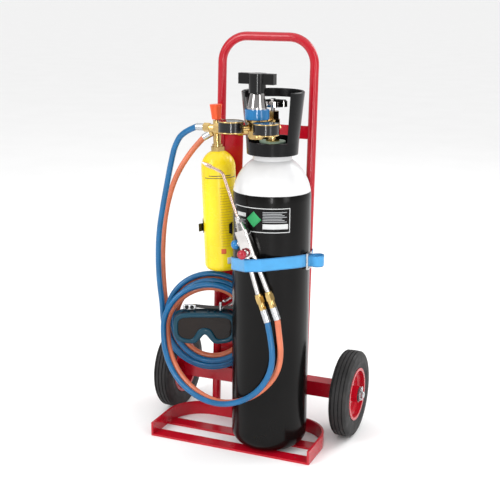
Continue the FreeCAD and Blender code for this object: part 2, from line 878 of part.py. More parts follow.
def make_torch():
    corner, turn_by = 97, 48.5
    bend = 18
    set_back = bend * math.tan(math.radians(turn_by / 2))
    direction = V(-math.sin(math.radians(turn_by)), 0, math.cos(math.radians(turn_by)))
    before = V(0, 0, corner - set_back)
    after = V(0, 0, corner) + direction * set_back
    nozzle_start = V(0, 0, corner) + direction * 28
    centre = before + V(-bend, 0, 0)
    half_turn = math.radians(turn_by / 2)
    halfway = centre + V(bend * math.cos(half_turn), 0, bend * math.sin(half_turn))
    edges = [
        Part.LineSegment(V(0, 0, -6), before).toShape(),
        Part.Arc(before, halfway, after).toShape(),
        Part.LineSegment(after, nozzle_start).toShape(),
    ]
    lance = doc.addObject("Part::Feature", "LanceTube")
    lance.Shape = tube_along(Part.Wire(edges), 3, V(0, 0, -6), V(0, 0, 1))
    node("torch_lance", lance, TORCH)
    nozzle_turn = Turn(V(0, 0, 1), direction)
    shank = put(rod(4.2, 10), tuple(nozzle_start + direction * 0.1), nozzle_turn)
    tip = put(cone(4.2, 2.4, 11.5), tuple(nozzle_start + direction * 10), nozzle_turn)
    bore = put(rod(0.9, 30), tuple(nozzle_start), nozzle_turn)
    node("torch_nozzle", cut(fuse(shank, tip), bore), TORCH)

    block_low, block_high = -89, -30
    head = fuse(
        rod(6, 8, (0, 0, -8)),
        hexagon(14, 8, (0, 0, -14)),
        cone(10.8, 7, 18, (0, 0, -31)),
    )
    grip = block(29, 22, block_high - block_low, (0, 0, block_low))
    grip_round = doc.addObject("Part::Fillet", "GripRound")
    grip_round.Base = grip
    doc.recompute()
    grip_round.Edges = [
        (i, 5, 5) for i, e in enumerate(grip.Shape.Edges, 1) if upright_edge(e)
    ]
    lance_bore = rod(3.1, 10, (0, 0, -6))
    left_boss = rod(6.5, 3, (-14, 0, -56), Z_TO_MINUS_X)
    slanted = Turn(V(0, 0, 1), V(-0.35, -0.937, 0))
    front_boss = rod(6.5, 8, tuple(V(0, 0, -78) + slanted.multVec(V(0, 0, 6.5))), slanted)
    stem_holes = [
        rod(2.5 + d.running_fit, 12, (-8, 0, -56), Z_TO_MINUS_X),
        rod(2.5 + d.running_fit, 14, tuple(V(0, 0, -78) + slanted.multVec(V(0, 0, 2))), slanted),
    ]
    body = cut(fuse(head, grip_round, left_boss, front_boss), lance_bore, *stem_holes)
    node("torch_body", body, TORCH)

    knobs = {
        "oxygen": (V(0, 0, -56), Z_TO_MINUS_X, 17.4),
        "fuel": (V(0, 0, -78), slanted, 14.9),
    }
    for name, (base, turn, start) in knobs.items():
        place = Place(tuple(in_world(TORCH, base)), TORCH.turn.multiply(turn))
        end = start + 15.5
        outline = [(0, 8.4), (2.5, 8.4), (2.5, start), (6, start, 9), (5.8, end), (0, end)]
        turned(f"torch_{name}_knob", outline, place)

    tubes = []
    nuts = []
    for s in (-1, 1):
        top, low = V(s * 7.5, 0, block_low - 0.35), V(s * TORCH_TUBE_SIDE, 0, -172)
        along = low - top
        turn = Turn(V(0, 0, 1), along)
        tubes.append(rod(5.5, along.Length, tuple(top), turn))
        nut = fuse(
            rod(8, 6, (s * TORCH_TUBE_SIDE, 0, -177)),
            hexagon(17, 14, (s * TORCH_TUBE_SIDE, 0, -190)),
            rod(7.5, 10, (s * TORCH_TUBE_SIDE, 0, -199)),
            hexagon(14, 7, (s * TORCH_TUBE_SIDE, 0, TORCH_NUT_END)),
        )
        nuts.append(cut(nut, rod(6.6, 4, (s * TORCH_TUBE_SIDE, 0, -173))))
    node("torch_tubes", tubes, TORCH)
    node("torch_hose_nuts", nuts, TORCH)


# ---------------------------------------------------------------- strap
def make_strap():
    """A webbing belt round the cylinder, the torch, the right upright and the panel's slot."""
    gap, thick, tall = 0.8, 2, 28
    cylinder = (V(d.cylinder_side.value, d.cylinder_back.value, 0), d.cylinder_dia.value / 2)
    upright = (V(d.upright_spacing.value / 2, 105.6, 0), d.tube_dia.value / 2)
    slot = (V(-61.5, 104.6, 0), 2.2)
    bottle = (V(-81.2, 54, 0), -(d.bottle_dia.value / 2 + 0.6 + gap + thick))
    torch = [(V(54, -112, 0), 6), (V(84, -112, 0), 6)]
    stops = [*torch, cylinder, upright, slot, bottle, cylinder]
    inner = belt(stops, gap)
    outer = belt(stops, gap + thick)
    wall = Part.Face(outer).extrude(V(0, 0, 160)).cut(Part.Face(inner).extrude(V(0, 0, 160)))
    wall.translate(V(0, 0, 340))
    level, slope_x, slope_y = 419.4, 0.127, -0.138
    tilt = Turn(V(0, 0, 1), V(-slope_x, -slope_y, 1))
    slab = Part.makeBox(600, 600, tall)
    slab.translate(V(-300, -300, -tall / 2))
    slab.Placement = FreeCAD.Placement(V(0, 0, level), tilt).multiply(slab.Placement)
    strap = doc.addObject("Part::Feature", "StrapBelt")
    strap.Shape = wall.common(slab)
    face = d.cylinder_side + d.cylinder_dia / 2 + gap + thick
    tail_low = 426.9
    loop = ring(15, 13, tall, (face + 20, d.cylinder_back, tail_low))
    tongue = block(7, thick, tall, (face + 3, d.cylinder_back + 1.5, tail_low))
    node("cylinder_strap", fuse(strap, loop, tongue))

    slot_high, buckle_thick = 30, 4
    middle = face + buckle_thick / 2 + 0.1
    frame = cut(
        block(buckle_thick, 27, slot_high + 6, (middle, d.cylinder_back - 4, tail_low - 4)),
        block(buckle_thick + 2, 7, slot_high, (middle, d.cylinder_back - 11, tail_low - 1)),
        block(buckle_thick + 2, 7, slot_high, (middle, d.cylinder_back + 1.5, tail_low - 1)),
    )
    node("strap_buckle", frame)


def belt(stops, extra):
    """A closed wire stretched round circles, given anticlockwise as seen from above.

    A circle with a negative radius stands outside the belt and pushes it inwards.
    """
    edges = []
    count = len(stops)
    leaves = []
    for (a, ra), (b, rb) in zip(stops, stops[1:] + stops[:1]):
        ra, rb = ra + extra, rb + extra
        away = b - a
        heading = math.atan2(away.y, away.x)
        normal = heading - math.acos(max(-1, min(1, (ra - rb) / away.Length)))
        side = V(math.cos(normal), math.sin(normal), 0)
        leaves.append((a + side * ra, b + side * rb))
    for number in range(count):
        (_, arrive), (leave, far) = leaves[number - 1], leaves[number]
        centre, radius = stops[number][0], stops[number][1] + extra
        start = math.atan2(arrive.y - centre.y, arrive.x - centre.x)
        end = math.atan2(leave.y - centre.y, leave.x - centre.x)
        if radius > 0:
            swing = (end - start) % (2 * math.pi)
        else:
            swing = -((start - end) % (2 * math.pi))
        halfway = start + swing / 2
        middle = centre + V(math.cos(halfway), math.sin(halfway), 0) * abs(radius)
        edges.append(Part.Arc(arrive, middle, leave).toShape())
        edges.append(Part.LineSegment(leave, far).toShape())
    return Part.Wire(edges)


# ---------------------------------------------------------------- goggles
def make_goggles():
    """Welding goggles that hang from the frame's long hook, inside the hose coil."""
    wide, deep, tall, middle, low = 148, 40, 78, -22, 214
    front = -69
    shell = block(wide, deep, tall, (middle, front + deep / 2, low))
    hollow = block(wide - 14, deep, tall - 14, (middle, front + deep / 2 + 6, low + 7))
    window = block(wide - 26, deep, tall - 24, (middle, front, low + 14))
    nose = rod(17, deep + 4, (middle, front - 2, low), Z_TO_Y)
    node("goggles_frame", cut(shell, hollow, window, nose), HANG)
    glass = block(wide - 22, 2.5, tall - 20, (middle, front + 7.5, low + 10))
    lens_nose = rod(22, 12, (middle, front, low), Z_TO_Y)
    node("goggles_lens", cut(glass, lens_nose), HANG)
    band_depth, band_level = -41, low + tall + 8
    band = block(112, 26, 3, (-8, band_depth, band_level))
    ends = [block(3, 26, 10.5, (s, band_depth, low + tall)) for s in (-62.5, 46.5)]
    clearing = block(100, 26, 9, (-8, band_depth, low + tall - 1.5))
    node("goggles_strap", cut(fuse(band, *ends), clearing), HANG)


# ---------------------------------------------------------------- hoses
OXYGEN_FEED = [
    (-116, -71.5, 710), (-140, -63, 678), (-154, -56, 636), (-170, -44, 588), (-188, -32, 531),
    (-205, -20, 469), (-214, -9, 404), (-217, 1, 342), (-214.5, 9, 290), (-208, 13, 250),
]
FUEL_FEED = [
    (-138, 43, 665), (-156, 37, 641), (-174, 30, 611), (-188, 24, 579), (-198, 18, 542),
    (-206, 14, 500), (-211, 12, 453), (-214, 12.5, 400), (-214, 16, 345), (-212.5, 22, 291),
    (-204, 27, 250),
]
OXYGEN_LEAD = [
    (109, -114, 286), (116, -119, 248), (112, -121, 213), (93, -121, 176), (61.5, -119.5, 144.5),
    (17, -110, 120), (-30, -94, 106), (-80, -75, 105), (-130, -58, 121), (-167, -41, 149),
    (-189, -29, 186), (-196, -23, 222), (-195, -20, 256),
]
FUEL_LEAD = [
    (128, -112, 292), (131, -109, 252), (123, -106, 211), (101, -105, 176), (68, -107, 146),
    (25, -98, 121), (-24, -81, 105), (-75, -62.5, 106), (-124, -46, 123), (-160, -29.5, 150),
    (-184, -16.5, 185), (-192, -10, 221), (-191, -7, 254),
]
COIL_SIDE = -10
COIL_DEPTH = 1
COIL_HALF_WIDE = 25
COIL_HALF_DEEP = 24.5


def tube_along(wire, radius, start, heading):
    """A solid round bar along a wire."""
    circle = Part.Wire(Part.makeCircle(radius, start, heading))
    return Part.Wire(wire).makePipeShell([circle], True, False)


def hose_path(name, points):
    """Straight runs joined by tangent arcs, each as large as its two runs allow."""
    points = [V(*p) for p in points]
    edges = []
    radii = []
    last = points[0]
    for before, corner, after in zip(points, points[1:], points[2:]):
        back, ahead = before - corner, after - corner
        half_turn = (math.pi - back.getAngle(ahead)) / 2
        shorter = min(back.Length, ahead.Length)
        reach = 0.45 * shorter
        radii.append(reach / math.tan(half_turn))
        back.normalize()
        ahead.normalize()
        begin, end = corner + back * reach, corner + ahead * reach
        bisector = back + ahead
        bisector.normalize()
        centre = corner + bisector * (radii[-1] / math.cos(half_turn))
        middle = centre - bisector * radii[-1]
        edges.append(Part.LineSegment(last, begin).toShape())
        edges.append(Part.Arc(begin, middle, end).toShape())
        last = end
    edges.append(Part.LineSegment(last, points[-1]).toShape())
    length = sum(edge.Length for edge in edges)
    print(f"{name}: length {length:.0f}, radii {[round(r) for r in radii]}")
    return Part.Wire(edges), length


def make_hoses(arrestor_end):
    radius = d.hose_dia.value / 2
    section = Part.Ellipse(V(0, 0, 0), COIL_HALF_WIDE, COIL_HALF_DEEP).toShape()
    section.translate(V(d.coil_radius.value, 0, 0))
    ring_solid = Part.Face(Part.Wire(section)).revolve(V(0, 0, 0), V(0, 1, 0), 360)
    middle = in_world(HANG, (COIL_SIDE, COIL_DEPTH, d.coil_level))
    ring_solid.Placement = FreeCAD.Placement(middle, HANG.turn)
    coil = doc.addObject("Part::Feature", "CoilRing")
    coil.Shape = ring_solid
    node("hose_coil", coil)

    down = Z_TO_X.multiply(Z_TO_X)
    ends = {
        "oxygen_hose_feed": (REGULATOR, arrestor_end, Z_TO_MINUS_X, 18, OXYGEN_FEED),
        "fuel_hose_feed": (BOTTLE, nipple_point(NIPPLE_END), NIPPLE_TURN, 18, FUEL_FEED),
        "oxygen_hose_lead": (TORCH, (-TORCH_TUBE_SIDE, 0, TORCH_NUT_END), down, 28, OXYGEN_LEAD),
        "fuel_hose_lead": (TORCH, (TORCH_TUBE_SIDE, 0, TORCH_NUT_END), down, 28, FUEL_LEAD),
    }
    routes = {}
    ferrules = []
    for name, (place, base, turn, long, points) in ends.items():
        nipple_end = in_world(place, base)
        heading = place.turn.multiply(turn)
        ferrules.append(rod(FERRULE_RADIUS, long, tuple(nipple_end), heading))
        routes[name] = [tuple(nipple_end + heading.multVec(V(0, 0, long))), *points]
    node("hose_ferrules", ferrules)
    for name, points in routes.items():
        print(name, [tuple(round(c, 1) for c in p) for p in points[:2]])
        wire, length = hose_path(name, points)
        start = V(*points[0])
        tube = tube_along(wire, radius, start, V(*points[1]) - start)
        expected = math.pi * radius**2 * length
        print(f"{name}: volume {tube.Volume:.0f} against {expected:.0f}")
        assert abs(tube.Volume / expected - 1) < 0.01
        hose = doc.addObject("Part::Feature", name + "Tube")
        hose.Shape = tube.cut(ring_solid)
        node(name, hose)


make_tray()
make_frame()
make_wheels()
make_cylinder()
make_valve()
arrestor_end = make_regulator()
make_bottle()
make_torch()
make_strap()
make_goggles()
make_hoses(arrestor_end)
doc.recompute()

# ---------------------------------------------------------------- checks and files
for obj in doc.Objects:
    bad = {"Invalid", "Error"} & set(obj.State)
    assert not bad, f"{obj.Label} is {bad}"
labels = [piece.Label for piece in NODES]
assert len(set(labels)) == len(labels) <= 60, f"{len(labels)} nodes"
for piece in NODES:
    shape = piece.Shape
    assert not shape.isNull() and shape.isValid() and shape.Solids, f"{piece.Label} has no sound shape"

os.makedirs("parts", exist_ok=True)
for piece in NODES:
    piece.Shape.exportStep(f"parts/{piece.Label}.step")
print(len(NODES), "nodes written")
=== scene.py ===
"""Looks of the oxygen and fuel gas torch cart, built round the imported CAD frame.

Lengths are metres, or millimetres where a name ends in _MM and in what mm(), place() and hang()
take. Angles are degrees unless a line works with sines and cosines. +Z is up, +X is to the right
and -Y is the front.
"""
import json
import math

import bmesh
import bpy
from mathutils import Matrix, Vector

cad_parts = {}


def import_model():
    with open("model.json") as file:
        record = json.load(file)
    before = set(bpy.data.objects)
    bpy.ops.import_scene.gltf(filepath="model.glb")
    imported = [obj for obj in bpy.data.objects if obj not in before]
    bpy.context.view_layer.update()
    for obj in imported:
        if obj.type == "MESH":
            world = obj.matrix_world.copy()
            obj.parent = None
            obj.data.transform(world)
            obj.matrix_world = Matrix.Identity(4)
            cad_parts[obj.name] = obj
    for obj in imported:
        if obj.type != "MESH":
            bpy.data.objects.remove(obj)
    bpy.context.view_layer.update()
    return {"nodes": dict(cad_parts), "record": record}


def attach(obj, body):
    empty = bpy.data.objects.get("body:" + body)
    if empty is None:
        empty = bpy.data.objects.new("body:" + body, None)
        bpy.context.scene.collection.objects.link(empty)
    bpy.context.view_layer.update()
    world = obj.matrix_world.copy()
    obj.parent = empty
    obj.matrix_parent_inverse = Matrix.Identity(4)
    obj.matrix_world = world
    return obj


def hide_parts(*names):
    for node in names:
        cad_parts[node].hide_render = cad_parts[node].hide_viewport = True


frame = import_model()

MM = 0.001


def mm(*values):
    return Vector([value * MM for value in values])


# ---------------------------------------------------------------- places shared with the CAD model
CYLINDER_AXIS_MM = (68, -13)
CYLINDER_RADIUS_MM = 85
BOTTLE_BASE_MM = (-80, 54, 378.5)
BOTTLE_TILT = -2.4
BOTTLE_RADIUS_MM = 39
REGULATOR_BASE_MM = (62.7, -88.8, 5)
REGULATOR_YAW = -4
HANG_BASE_MM = (-94.7, 47.4, 0)
HANG_YAW = 22.7


def place(base, axis="Z", degrees=0):
    return Matrix.Translation(mm(*base)) @ Matrix.Rotation(math.radians(degrees), 4, axis)


CYLINDER = place((*CYLINDER_AXIS_MM, 0))
BOTTLE = place(BOTTLE_BASE_MM, "Y", BOTTLE_TILT)
REGULATOR = place(REGULATOR_BASE_MM, "Z", REGULATOR_YAW)
HANG = place(HANG_BASE_MM, "Z", HANG_YAW)


def hang(side, depth, level):
    """A point of the hanging plane, in millimetres, as a point of the frame in metres."""
    return HANG @ mm(side, depth, level)


# ---------------------------------------------------------------- materials
class Nodes:
    """A short way to build a node tree."""

    def __init__(self, name):
        self.material = bpy.data.materials.new(name)
        self.material.use_nodes = True
        self.tree = self.material.node_tree
        self.shader = self.tree.nodes["Principled BSDF"]
        self.place = self.add("ShaderNodeTexCoord").outputs["Object"]

    def add(self, kind, **settings):
        node = self.tree.nodes.new(kind)
        for name, value in settings.items():
            setattr(node, name, value)
        return node

    def link(self, source, target):
        self.tree.links.new(source, target)

    def set(self, **sockets):
        for name, value in sockets.items():
            self.shader.inputs[name.replace("_", " ")].default_value = value

    def stretched(self, scale):
        mapping = self.add("ShaderNodeMapping")
        mapping.inputs["Scale"].default_value = scale
        self.link(self.place, mapping.inputs["Vector"])
        return mapping.outputs["Vector"]

    def noise(self, scale, detail=4.0, rough=0.55, stretch=None):
        node = self.add("ShaderNodeTexNoise")
        node.inputs["Scale"].default_value = scale
        node.inputs["Detail"].default_value = detail
        node.inputs["Roughness"].default_value = rough
        self.link(self.stretched(stretch) if stretch else self.place, node.inputs["Vector"])
        return node.outputs["Fac"]

    def ramp(self, source, stops):
        node = self.add("ShaderNodeValToRGB")
        ramp = node.color_ramp
        while len(ramp.elements) < len(stops):
            ramp.elements.new(0.5)
        for element, (at, colour) in zip(ramp.elements, stops):
            element.position = at
            element.color = (*colour[:3], 1)
        self.link(source, node.inputs["Fac"])
        return node.outputs["Color"]

    def span(self, source, low, high, source_low=0.0, source_high=1.0):
        node = self.add("ShaderNodeMapRange")
        node.inputs["From Min"].default_value = source_low
        node.inputs["From Max"].default_value = source_high
        node.inputs["To Min"].default_value = low
        node.inputs["To Max"].default_value = high
        self.link(source, node.inputs["Value"])
        return node.outputs["Result"]

    def maths(self, operation, a, b=0.0):
        node = self.add("ShaderNodeMath", operation=operation)
        for socket, value in zip(node.inputs, (a, b)):
            if isinstance(value, (int, float)):
                socket.default_value = value
            else:
                self.link(value, socket)
        return node.outputs["Value"]

    def mixed(self, factor, a, b):
        node = self.add("ShaderNodeMix", data_type="RGBA")
        self.link(factor, node.inputs["Factor"])
        # Inputs 6 and 7 and output 2 are the node's colour sockets.
        for socket, value in ((node.inputs[6], a), (node.inputs[7], b)):
            if isinstance(value, tuple):
                socket.default_value = (*value[:3], 1)
            else:
                self.link(value, socket)
        return node.outputs[2]

    def colour(self, source):
        self.link(source, self.shader.inputs["Base Color"])

    def roughness(self, source, low, high):
        self.link(self.span(source, low, high, 0.25, 0.75), self.shader.inputs["Roughness"])

    def bump(self, source, distance, strength=1.0, below=None):
        node = self.add("ShaderNodeBump")
        node.inputs["Distance"].default_value = distance
        node.inputs["Strength"].default_value = strength
        self.link(source, node.inputs["Height"])
        if below is not None:
            self.link(below, node.inputs["Normal"])
        self.link(node.outputs["Normal"], self.shader.inputs["Normal"])
        return node.outputs["Normal"]


def shade(colour, factor):
    return tuple(min(1.0, channel * factor) for channel in colour)


def painted(name, colour, chips=False, rough=(0.16, 0.3)):
    """Gloss enamel with orange peel and rub marks and, low down, a few chips."""
    n = Nodes(name)
    cloud = n.noise(9, 3)
    base = n.ramp(cloud, [(0.3, shade(colour, 0.88)), (0.7, shade(colour, 1.08))])
    if chips:
        split = n.add("ShaderNodeSeparateXYZ")
        n.link(n.place, split.inputs["Vector"])
        low = n.span(split.outputs["Z"], 1.0, 0.6, 0.0, 0.16)
        spots = n.maths("MULTIPLY", n.maths("MULTIPLY", n.noise(170, 2, 0.5), n.noise(16, 3)), low)
        bare = n.maths("GREATER_THAN", spots, 0.41)
        base = n.mixed(bare, base, (0.10, 0.055, 0.045))
    n.colour(base)
    n.roughness(n.noise(45, 5, 0.65), *rough)
    n.set(Coat_Weight=0.2, Coat_Roughness=0.05, Specular_IOR_Level=0.35)
    peel = n.bump(n.noise(420, 2), 0.00003, 0.4)
    n.bump(n.noise(60, 3), 0.00006, 0.2, peel)
    return n.material


CYLINDER_WHITE_FROM = 0.5885


def cylinder_paint():
    """Black enamel up to the shoulder, and white above it, with rubs and fine scratches."""
    n = Nodes("cylinder_paint")
    split = n.add("ShaderNodeSeparateXYZ")
    n.link(n.place, split.inputs["Vector"])
    edge = n.maths("ADD", split.outputs["Z"], n.span(n.noise(60, 2), -0.0004, 0.0004))
    white = n.maths("GREATER_THAN", edge, CYLINDER_WHITE_FROM)
    black = n.ramp(n.noise(7, 4), [(0.3, (0.002, 0.0018, 0.0018)), (0.75, (0.005, 0.0045, 0.0043))])
    pale = n.ramp(n.noise(11, 5), [(0.3, (0.62, 0.62, 0.625)), (0.7, (0.70, 0.70, 0.70))])
    scratch = n.maths("GREATER_THAN", n.noise(34, 6, 0.75, (6, 6, 0.5)), 0.75)
    worn = n.mixed(scratch, black, (0.022, 0.022, 0.023))
    n.colour(n.mixed(white, worn, pale))
    n.roughness(n.noise(22, 5, 0.7), 0.16, 0.26)
    n.set(Coat_Weight=0.04, Coat_Roughness=0.06, Specular_IOR_Level=0.12)
    peel = n.bump(n.noise(300, 2), 0.00003, 0.35)
    n.bump(n.noise(16, 3), 0.0002, 0.08, peel)
    return n.material


def metal(name, colour, rough, grain=(1, 1, 1), grain_scale=300, depth=0.00003, tarnish=0.82):
    """Bare or plated metal with a turned or drawn grain and a slight tarnish."""
    n = Nodes(name)
    n.set(Metallic=1.0)
    n.colour(n.ramp(n.noise(24, 5, 0.6), [(0.3, shade(colour, tarnish)), (0.62, colour)]))
    n.roughness(n.noise(grain_scale / 4, 4, 0.6, grain), *rough)
    n.bump(n.noise(grain_scale, 3, 0.6, grain), depth, 0.6)
    return n.material


def plastic(name, colour, rough, grain=900, depth=0.00004, coat=0.0, shine=0.4):
    n = Nodes(name)
    n.colour(n.ramp(n.noise(18, 3), [(0.3, shade(colour, 0.88)), (0.7, shade(colour, 1.08))]))
    n.roughness(n.noise(70, 4), *rough)
    n.set(Coat_Weight=coat, Coat_Roughness=0.06, Specular_IOR_Level=shine)
    n.bump(n.noise(grain, 2), depth, 0.5)
    return n.material


def tyre_rubber():
    n = Nodes("tyre_rubber")
    dust = n.noise(28, 6, 0.7)
    stops = [(0.3, (0.010, 0.010, 0.0105)), (0.6, (0.019, 0.018, 0.018)), (0.85, (0.055, 0.050, 0.046))]
    n.colour(n.ramp(dust, stops))
    n.roughness(n.noise(50, 5), 0.5, 0.78)
    n.set(Specular_IOR_Level=0.3)
    fine = n.bump(n.noise(700, 3), 0.00015, 0.7)
    n.bump(n.noise(40, 3), 0.0003, 0.3, fine)
    return n.material


def hose_rubber(name, colour):
    """Glossy extruded rubber with a faint draw grain and dusty patches."""
    n = Nodes(name)
    dusty = [(0.28, shade(colour, 0.78)), (0.6, colour), (0.85, shade(colour, 1.2))]
    n.colour(n.ramp(n.noise(26, 5, 0.6), dusty))
    n.roughness(n.noise(60, 4), 0.26, 0.44)
    n.set(Coat_Weight=0.2, Coat_Roughness=0.14, Specular_IOR_Level=0.35)
    fine = n.bump(n.noise(900, 2), 0.00005, 0.5)
    n.bump(n.noise(90, 2), 0.00018, 0.35, fine)
    return n.material


def woven(name, colour, dark, along, across, rough=(0.55, 0.75), sheen=0.3):
    """Webbing: a weave that follows the strap's own length and width, kept as an attribute."""
    n = Nodes(name)
    run = n.add("ShaderNodeAttribute", attribute_name="weave")
    split = n.add("ShaderNodeSeparateXYZ")
    n.link(run.outputs["Vector"], split.inputs["Vector"])
    warp = n.maths("SINE", n.maths("MULTIPLY", split.outputs["Y"], math.tau / across))
    weft = n.maths("SINE", n.maths("MULTIPLY", split.outputs["X"], math.tau / along))
    weave = n.maths("MULTIPLY", warp, weft)
    fuzz = n.noise(40, 4)
    tone = n.ramp(n.span(weave, 0, 1, -1, 1), [(0.1, dark), (0.75, colour)])
    edge = n.maths("GREATER_THAN", split.outputs["Z"], 0.82)
    tinted = n.mixed(n.span(fuzz, 0, 0.35, 0.3, 0.7), tone, shade(colour, 1.25))
    n.colour(n.mixed(edge, tinted, shade(dark, 0.9)))
    n.roughness(fuzz, *rough)
    n.set(Sheen_Weight=sheen, Sheen_Roughness=0.4)
    n.bump(weave, 0.00025, 0.8)
    return n.material


def smoky_lens():
    n = Nodes("smoky_lens")
    n.colour(n.ramp(n.noise(12, 3), [(0.3, (0.007, 0.0045, 0.004)), (0.7, (0.014, 0.009, 0.007))]))
    n.roughness(n.noise(30, 4), 0.06, 0.14)
    n.set(Coat_Weight=0.06, Coat_Roughness=0.04, Specular_IOR_Level=0.2)
    n.bump(n.noise(20, 2), 0.0002, 0.1)
    return n.material


def clear_lens():
    n = Nodes("clear_lens")
    n.colour(n.ramp(n.noise(40, 3), [(0.3, (0.93, 0.95, 0.96)), (0.7, (0.98, 0.99, 1.0))]))
    n.set(Transmission_Weight=1.0, IOR=1.49)
    n.roughness(n.noise(60, 3), 0.01, 0.04)
    return n.material


def printed(name, colour, rough=(0.4, 0.55), fade=0.9):
    """Ink or sticker film."""
    n = Nodes(name)
    n.colour(n.ramp(n.noise(70, 5), [(0.3, shade(colour, fade)), (0.7, colour)]))
    n.roughness(n.noise(90, 3), *rough)
    n.bump(n.noise(500, 2), 0.00002, 0.4)
    return n.material


RED = (0.43, 0.003, 0.014)
BLUE_HOSE = (0.004, 0.118, 0.29)
ORANGE_HOSE = (0.62, 0.165, 0.08)
FINISHES = {
    "red_paint": painted("red_enamel", RED, chips=True),
    "black_paint": cylinder_paint(),
    "guard_black": plastic(
        "guard_black", (0.004, 0.004, 0.0045), (0.18, 0.28),
        grain=500, depth=0.00003, coat=0.04, shine=0.15,
    ),
    "yellow_paint": painted("yellow_enamel", (0.94, 0.70, 0.012), rough=(0.2, 0.32)),
    "tyre": tyre_rubber(),
    "zinc": metal("zinc_plate", (0.52, 0.53, 0.54), (0.2, 0.36)),
    "chrome": metal("chrome_plate", (0.56, 0.54, 0.53), (0.05, 0.14), depth=0.000012, tarnish=0.72),
    "brass": metal("brass", (0.62, 0.43, 0.17), (0.14, 0.3), grain=(1, 1, 3), tarnish=0.72),
    "copper": metal("pink_chrome", (0.68, 0.50, 0.43), (0.1, 0.2), depth=0.000008, tarnish=0.78),
    "steel_black": painted("black_steel", (0.006, 0.006, 0.0065), rough=(0.14, 0.24)),
    "black_plastic": plastic(
        "black_plastic", (0.003, 0.003, 0.0033), (0.12, 0.2),
        grain=600, depth=0.00002, coat=0.12, shine=0.25,
    ),
    "blue_plastic": plastic("blue_plastic", (0.004, 0.15, 0.38), (0.12, 0.22), coat=0.3),
    "red_plastic": plastic("red_plastic", (0.36, 0.006, 0.022), (0.1, 0.2), coat=0.3),
    "orange_plastic": plastic("orange_plastic", (0.86, 0.10, 0.022), (0.25, 0.4)),
    "pale_green_plastic": plastic("pale_green", (0.42, 0.60, 0.46), (0.4, 0.55)),
    "nylon": plastic("nylon", (0.03, 0.03, 0.032), (0.4, 0.55)),
    "dial_white": printed("dial_white", (0.88, 0.88, 0.86)),
    "lens_clear": clear_lens(),
    "lens_dark": smoky_lens(),
    "blue_hose": hose_rubber("blue_hose", BLUE_HOSE),
    "orange_hose": hose_rubber("orange_hose", ORANGE_HOSE),
    "webbing": woven(
        "webbing", (0.065, 0.345, 0.66), (0.03, 0.22, 0.50), along=0.0032, across=0.0026
    ),
    "goggle_rubber": plastic(
        "goggle_rubber", (0.002, 0.042, 0.072), (0.26, 0.4),
        grain=400, depth=0.00006, coat=0.08, shine=0.25,
    ),
    "elastic": woven(
        "elastic", (0.04, 0.043, 0.045), (0.010, 0.0105, 0.011),
        along=0.0022, across=0.0040, sheen=0.05,
    ),
}
for part in frame["record"]["subparts"]:
    data = frame["nodes"][part["node"]].data
    data.materials.clear()
    data.materials.append(FINISHES[part["material_slot"]])


# ---------------------------------------------------------------- mesh helpers
def mesh_piece(name, vertices, faces, slot, material=None, smooth=True, level=0):
    mesh = bpy.data.meshes.new(name)
    mesh.from_pydata([tuple(v) for v in vertices], [], faces)
    work = bmesh.new()
    work.from_mesh(mesh)
    bmesh.ops.recalc_face_normals(work, faces=work.faces)
    work.to_mesh(mesh)
    work.free()
    for polygon in mesh.polygons:
        polygon.use_smooth = smooth
    mesh.materials.append(material or FINISHES[slot])
    piece = bpy.data.objects.new(name, mesh)
    bpy.context.scene.collection.objects.link(piece)
    if level:
        rounding = piece.modifiers.new("round", "SUBSURF")
        rounding.levels = rounding.render_levels = level
    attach(piece, "cart")
    return piece


def loft(sections, close_along=False):
    """A skin through closed sections of equal numbers of points, capped unless it closes along."""
    count, size = len(sections), len(sections[0])
    vertices = [point for section in sections for point in section]
    faces = []
    for i in range(count if close_along else count - 1):
        j = (i + 1) % count
        for k in range(size):
            m = (k + 1) % size
            faces.append((i * size + k, i * size + m, j * size + m, j * size + k))
    if not close_along:
        faces.append(tuple(range(size)))
        faces.append(tuple(range((count - 1) * size, count * size))[::-1])
    return vertices, faces


def joined(skins):
    """The vertices and faces of several separate skins as those of one mesh."""
    vertices, faces = [], []
    for some, skin in skins:
        faces += [tuple(i + len(vertices) for i in face) for face in skin]
        vertices += some
    return vertices, faces


def circle(radius, count):
    """Points of a circle round the origin."""
    angles = [math.tau * k / count for k in range(count)]
    return [(radius * math.cos(angle), radius * math.sin(angle)) for angle in angles]


def squarer(value, power):
    """A sine or cosine pushed outwards, which squares the corners of an ellipse."""
    return math.copysign(abs(value) ** power, value)


def headings(line):
    """The direction at each point of an open flat line, from its neighbours."""
    pairs = zip(line[:1] + line[:-1], line[1:] + line[-1:])
    return [Vector((after[0] - before[0], after[1] - before[1])).normalized() for before, after in pairs]


# ---------------------------------------------------------------- hoses
HOSE_DIAMETER_MM = 13
OXYGEN_FEED_MM = [
    (-79.2, -78.9, 724.0), (-116, -71.5, 710), (-140, -63, 678), (-154, -56, 636), (-170, -44, 588),
    (-188, -32, 531), (-205, -20, 469), (-214, -9, 404), (-217, 1, 342), (-214.5, 9, 290),
]
FUEL_FEED_MM = [
    (-123.4, 47.5, 681.3), (-138, 43, 665), (-156, 37, 641), (-174, 30, 611), (-188, 24, 579),
    (-198, 18, 542), (-206, 14, 500), (-211, 12, 453), (-214, 12.5, 400), (-214, 16, 345),
    (-212.5, 22, 291),
]
OXYGEN_LEAD_MM = [
    (99.7, -111.0, 321.6), (109, -114, 286), (116, -119, 248), (112, -121, 213), (93, -121, 176),
    (61.5, -119.5, 144.5), (17, -110, 120), (-30, -94, 106), (-80, -75, 105), (-130, -58, 121),
    (-167, -41, 149), (-189, -29, 186), (-196, -23, 222),
]
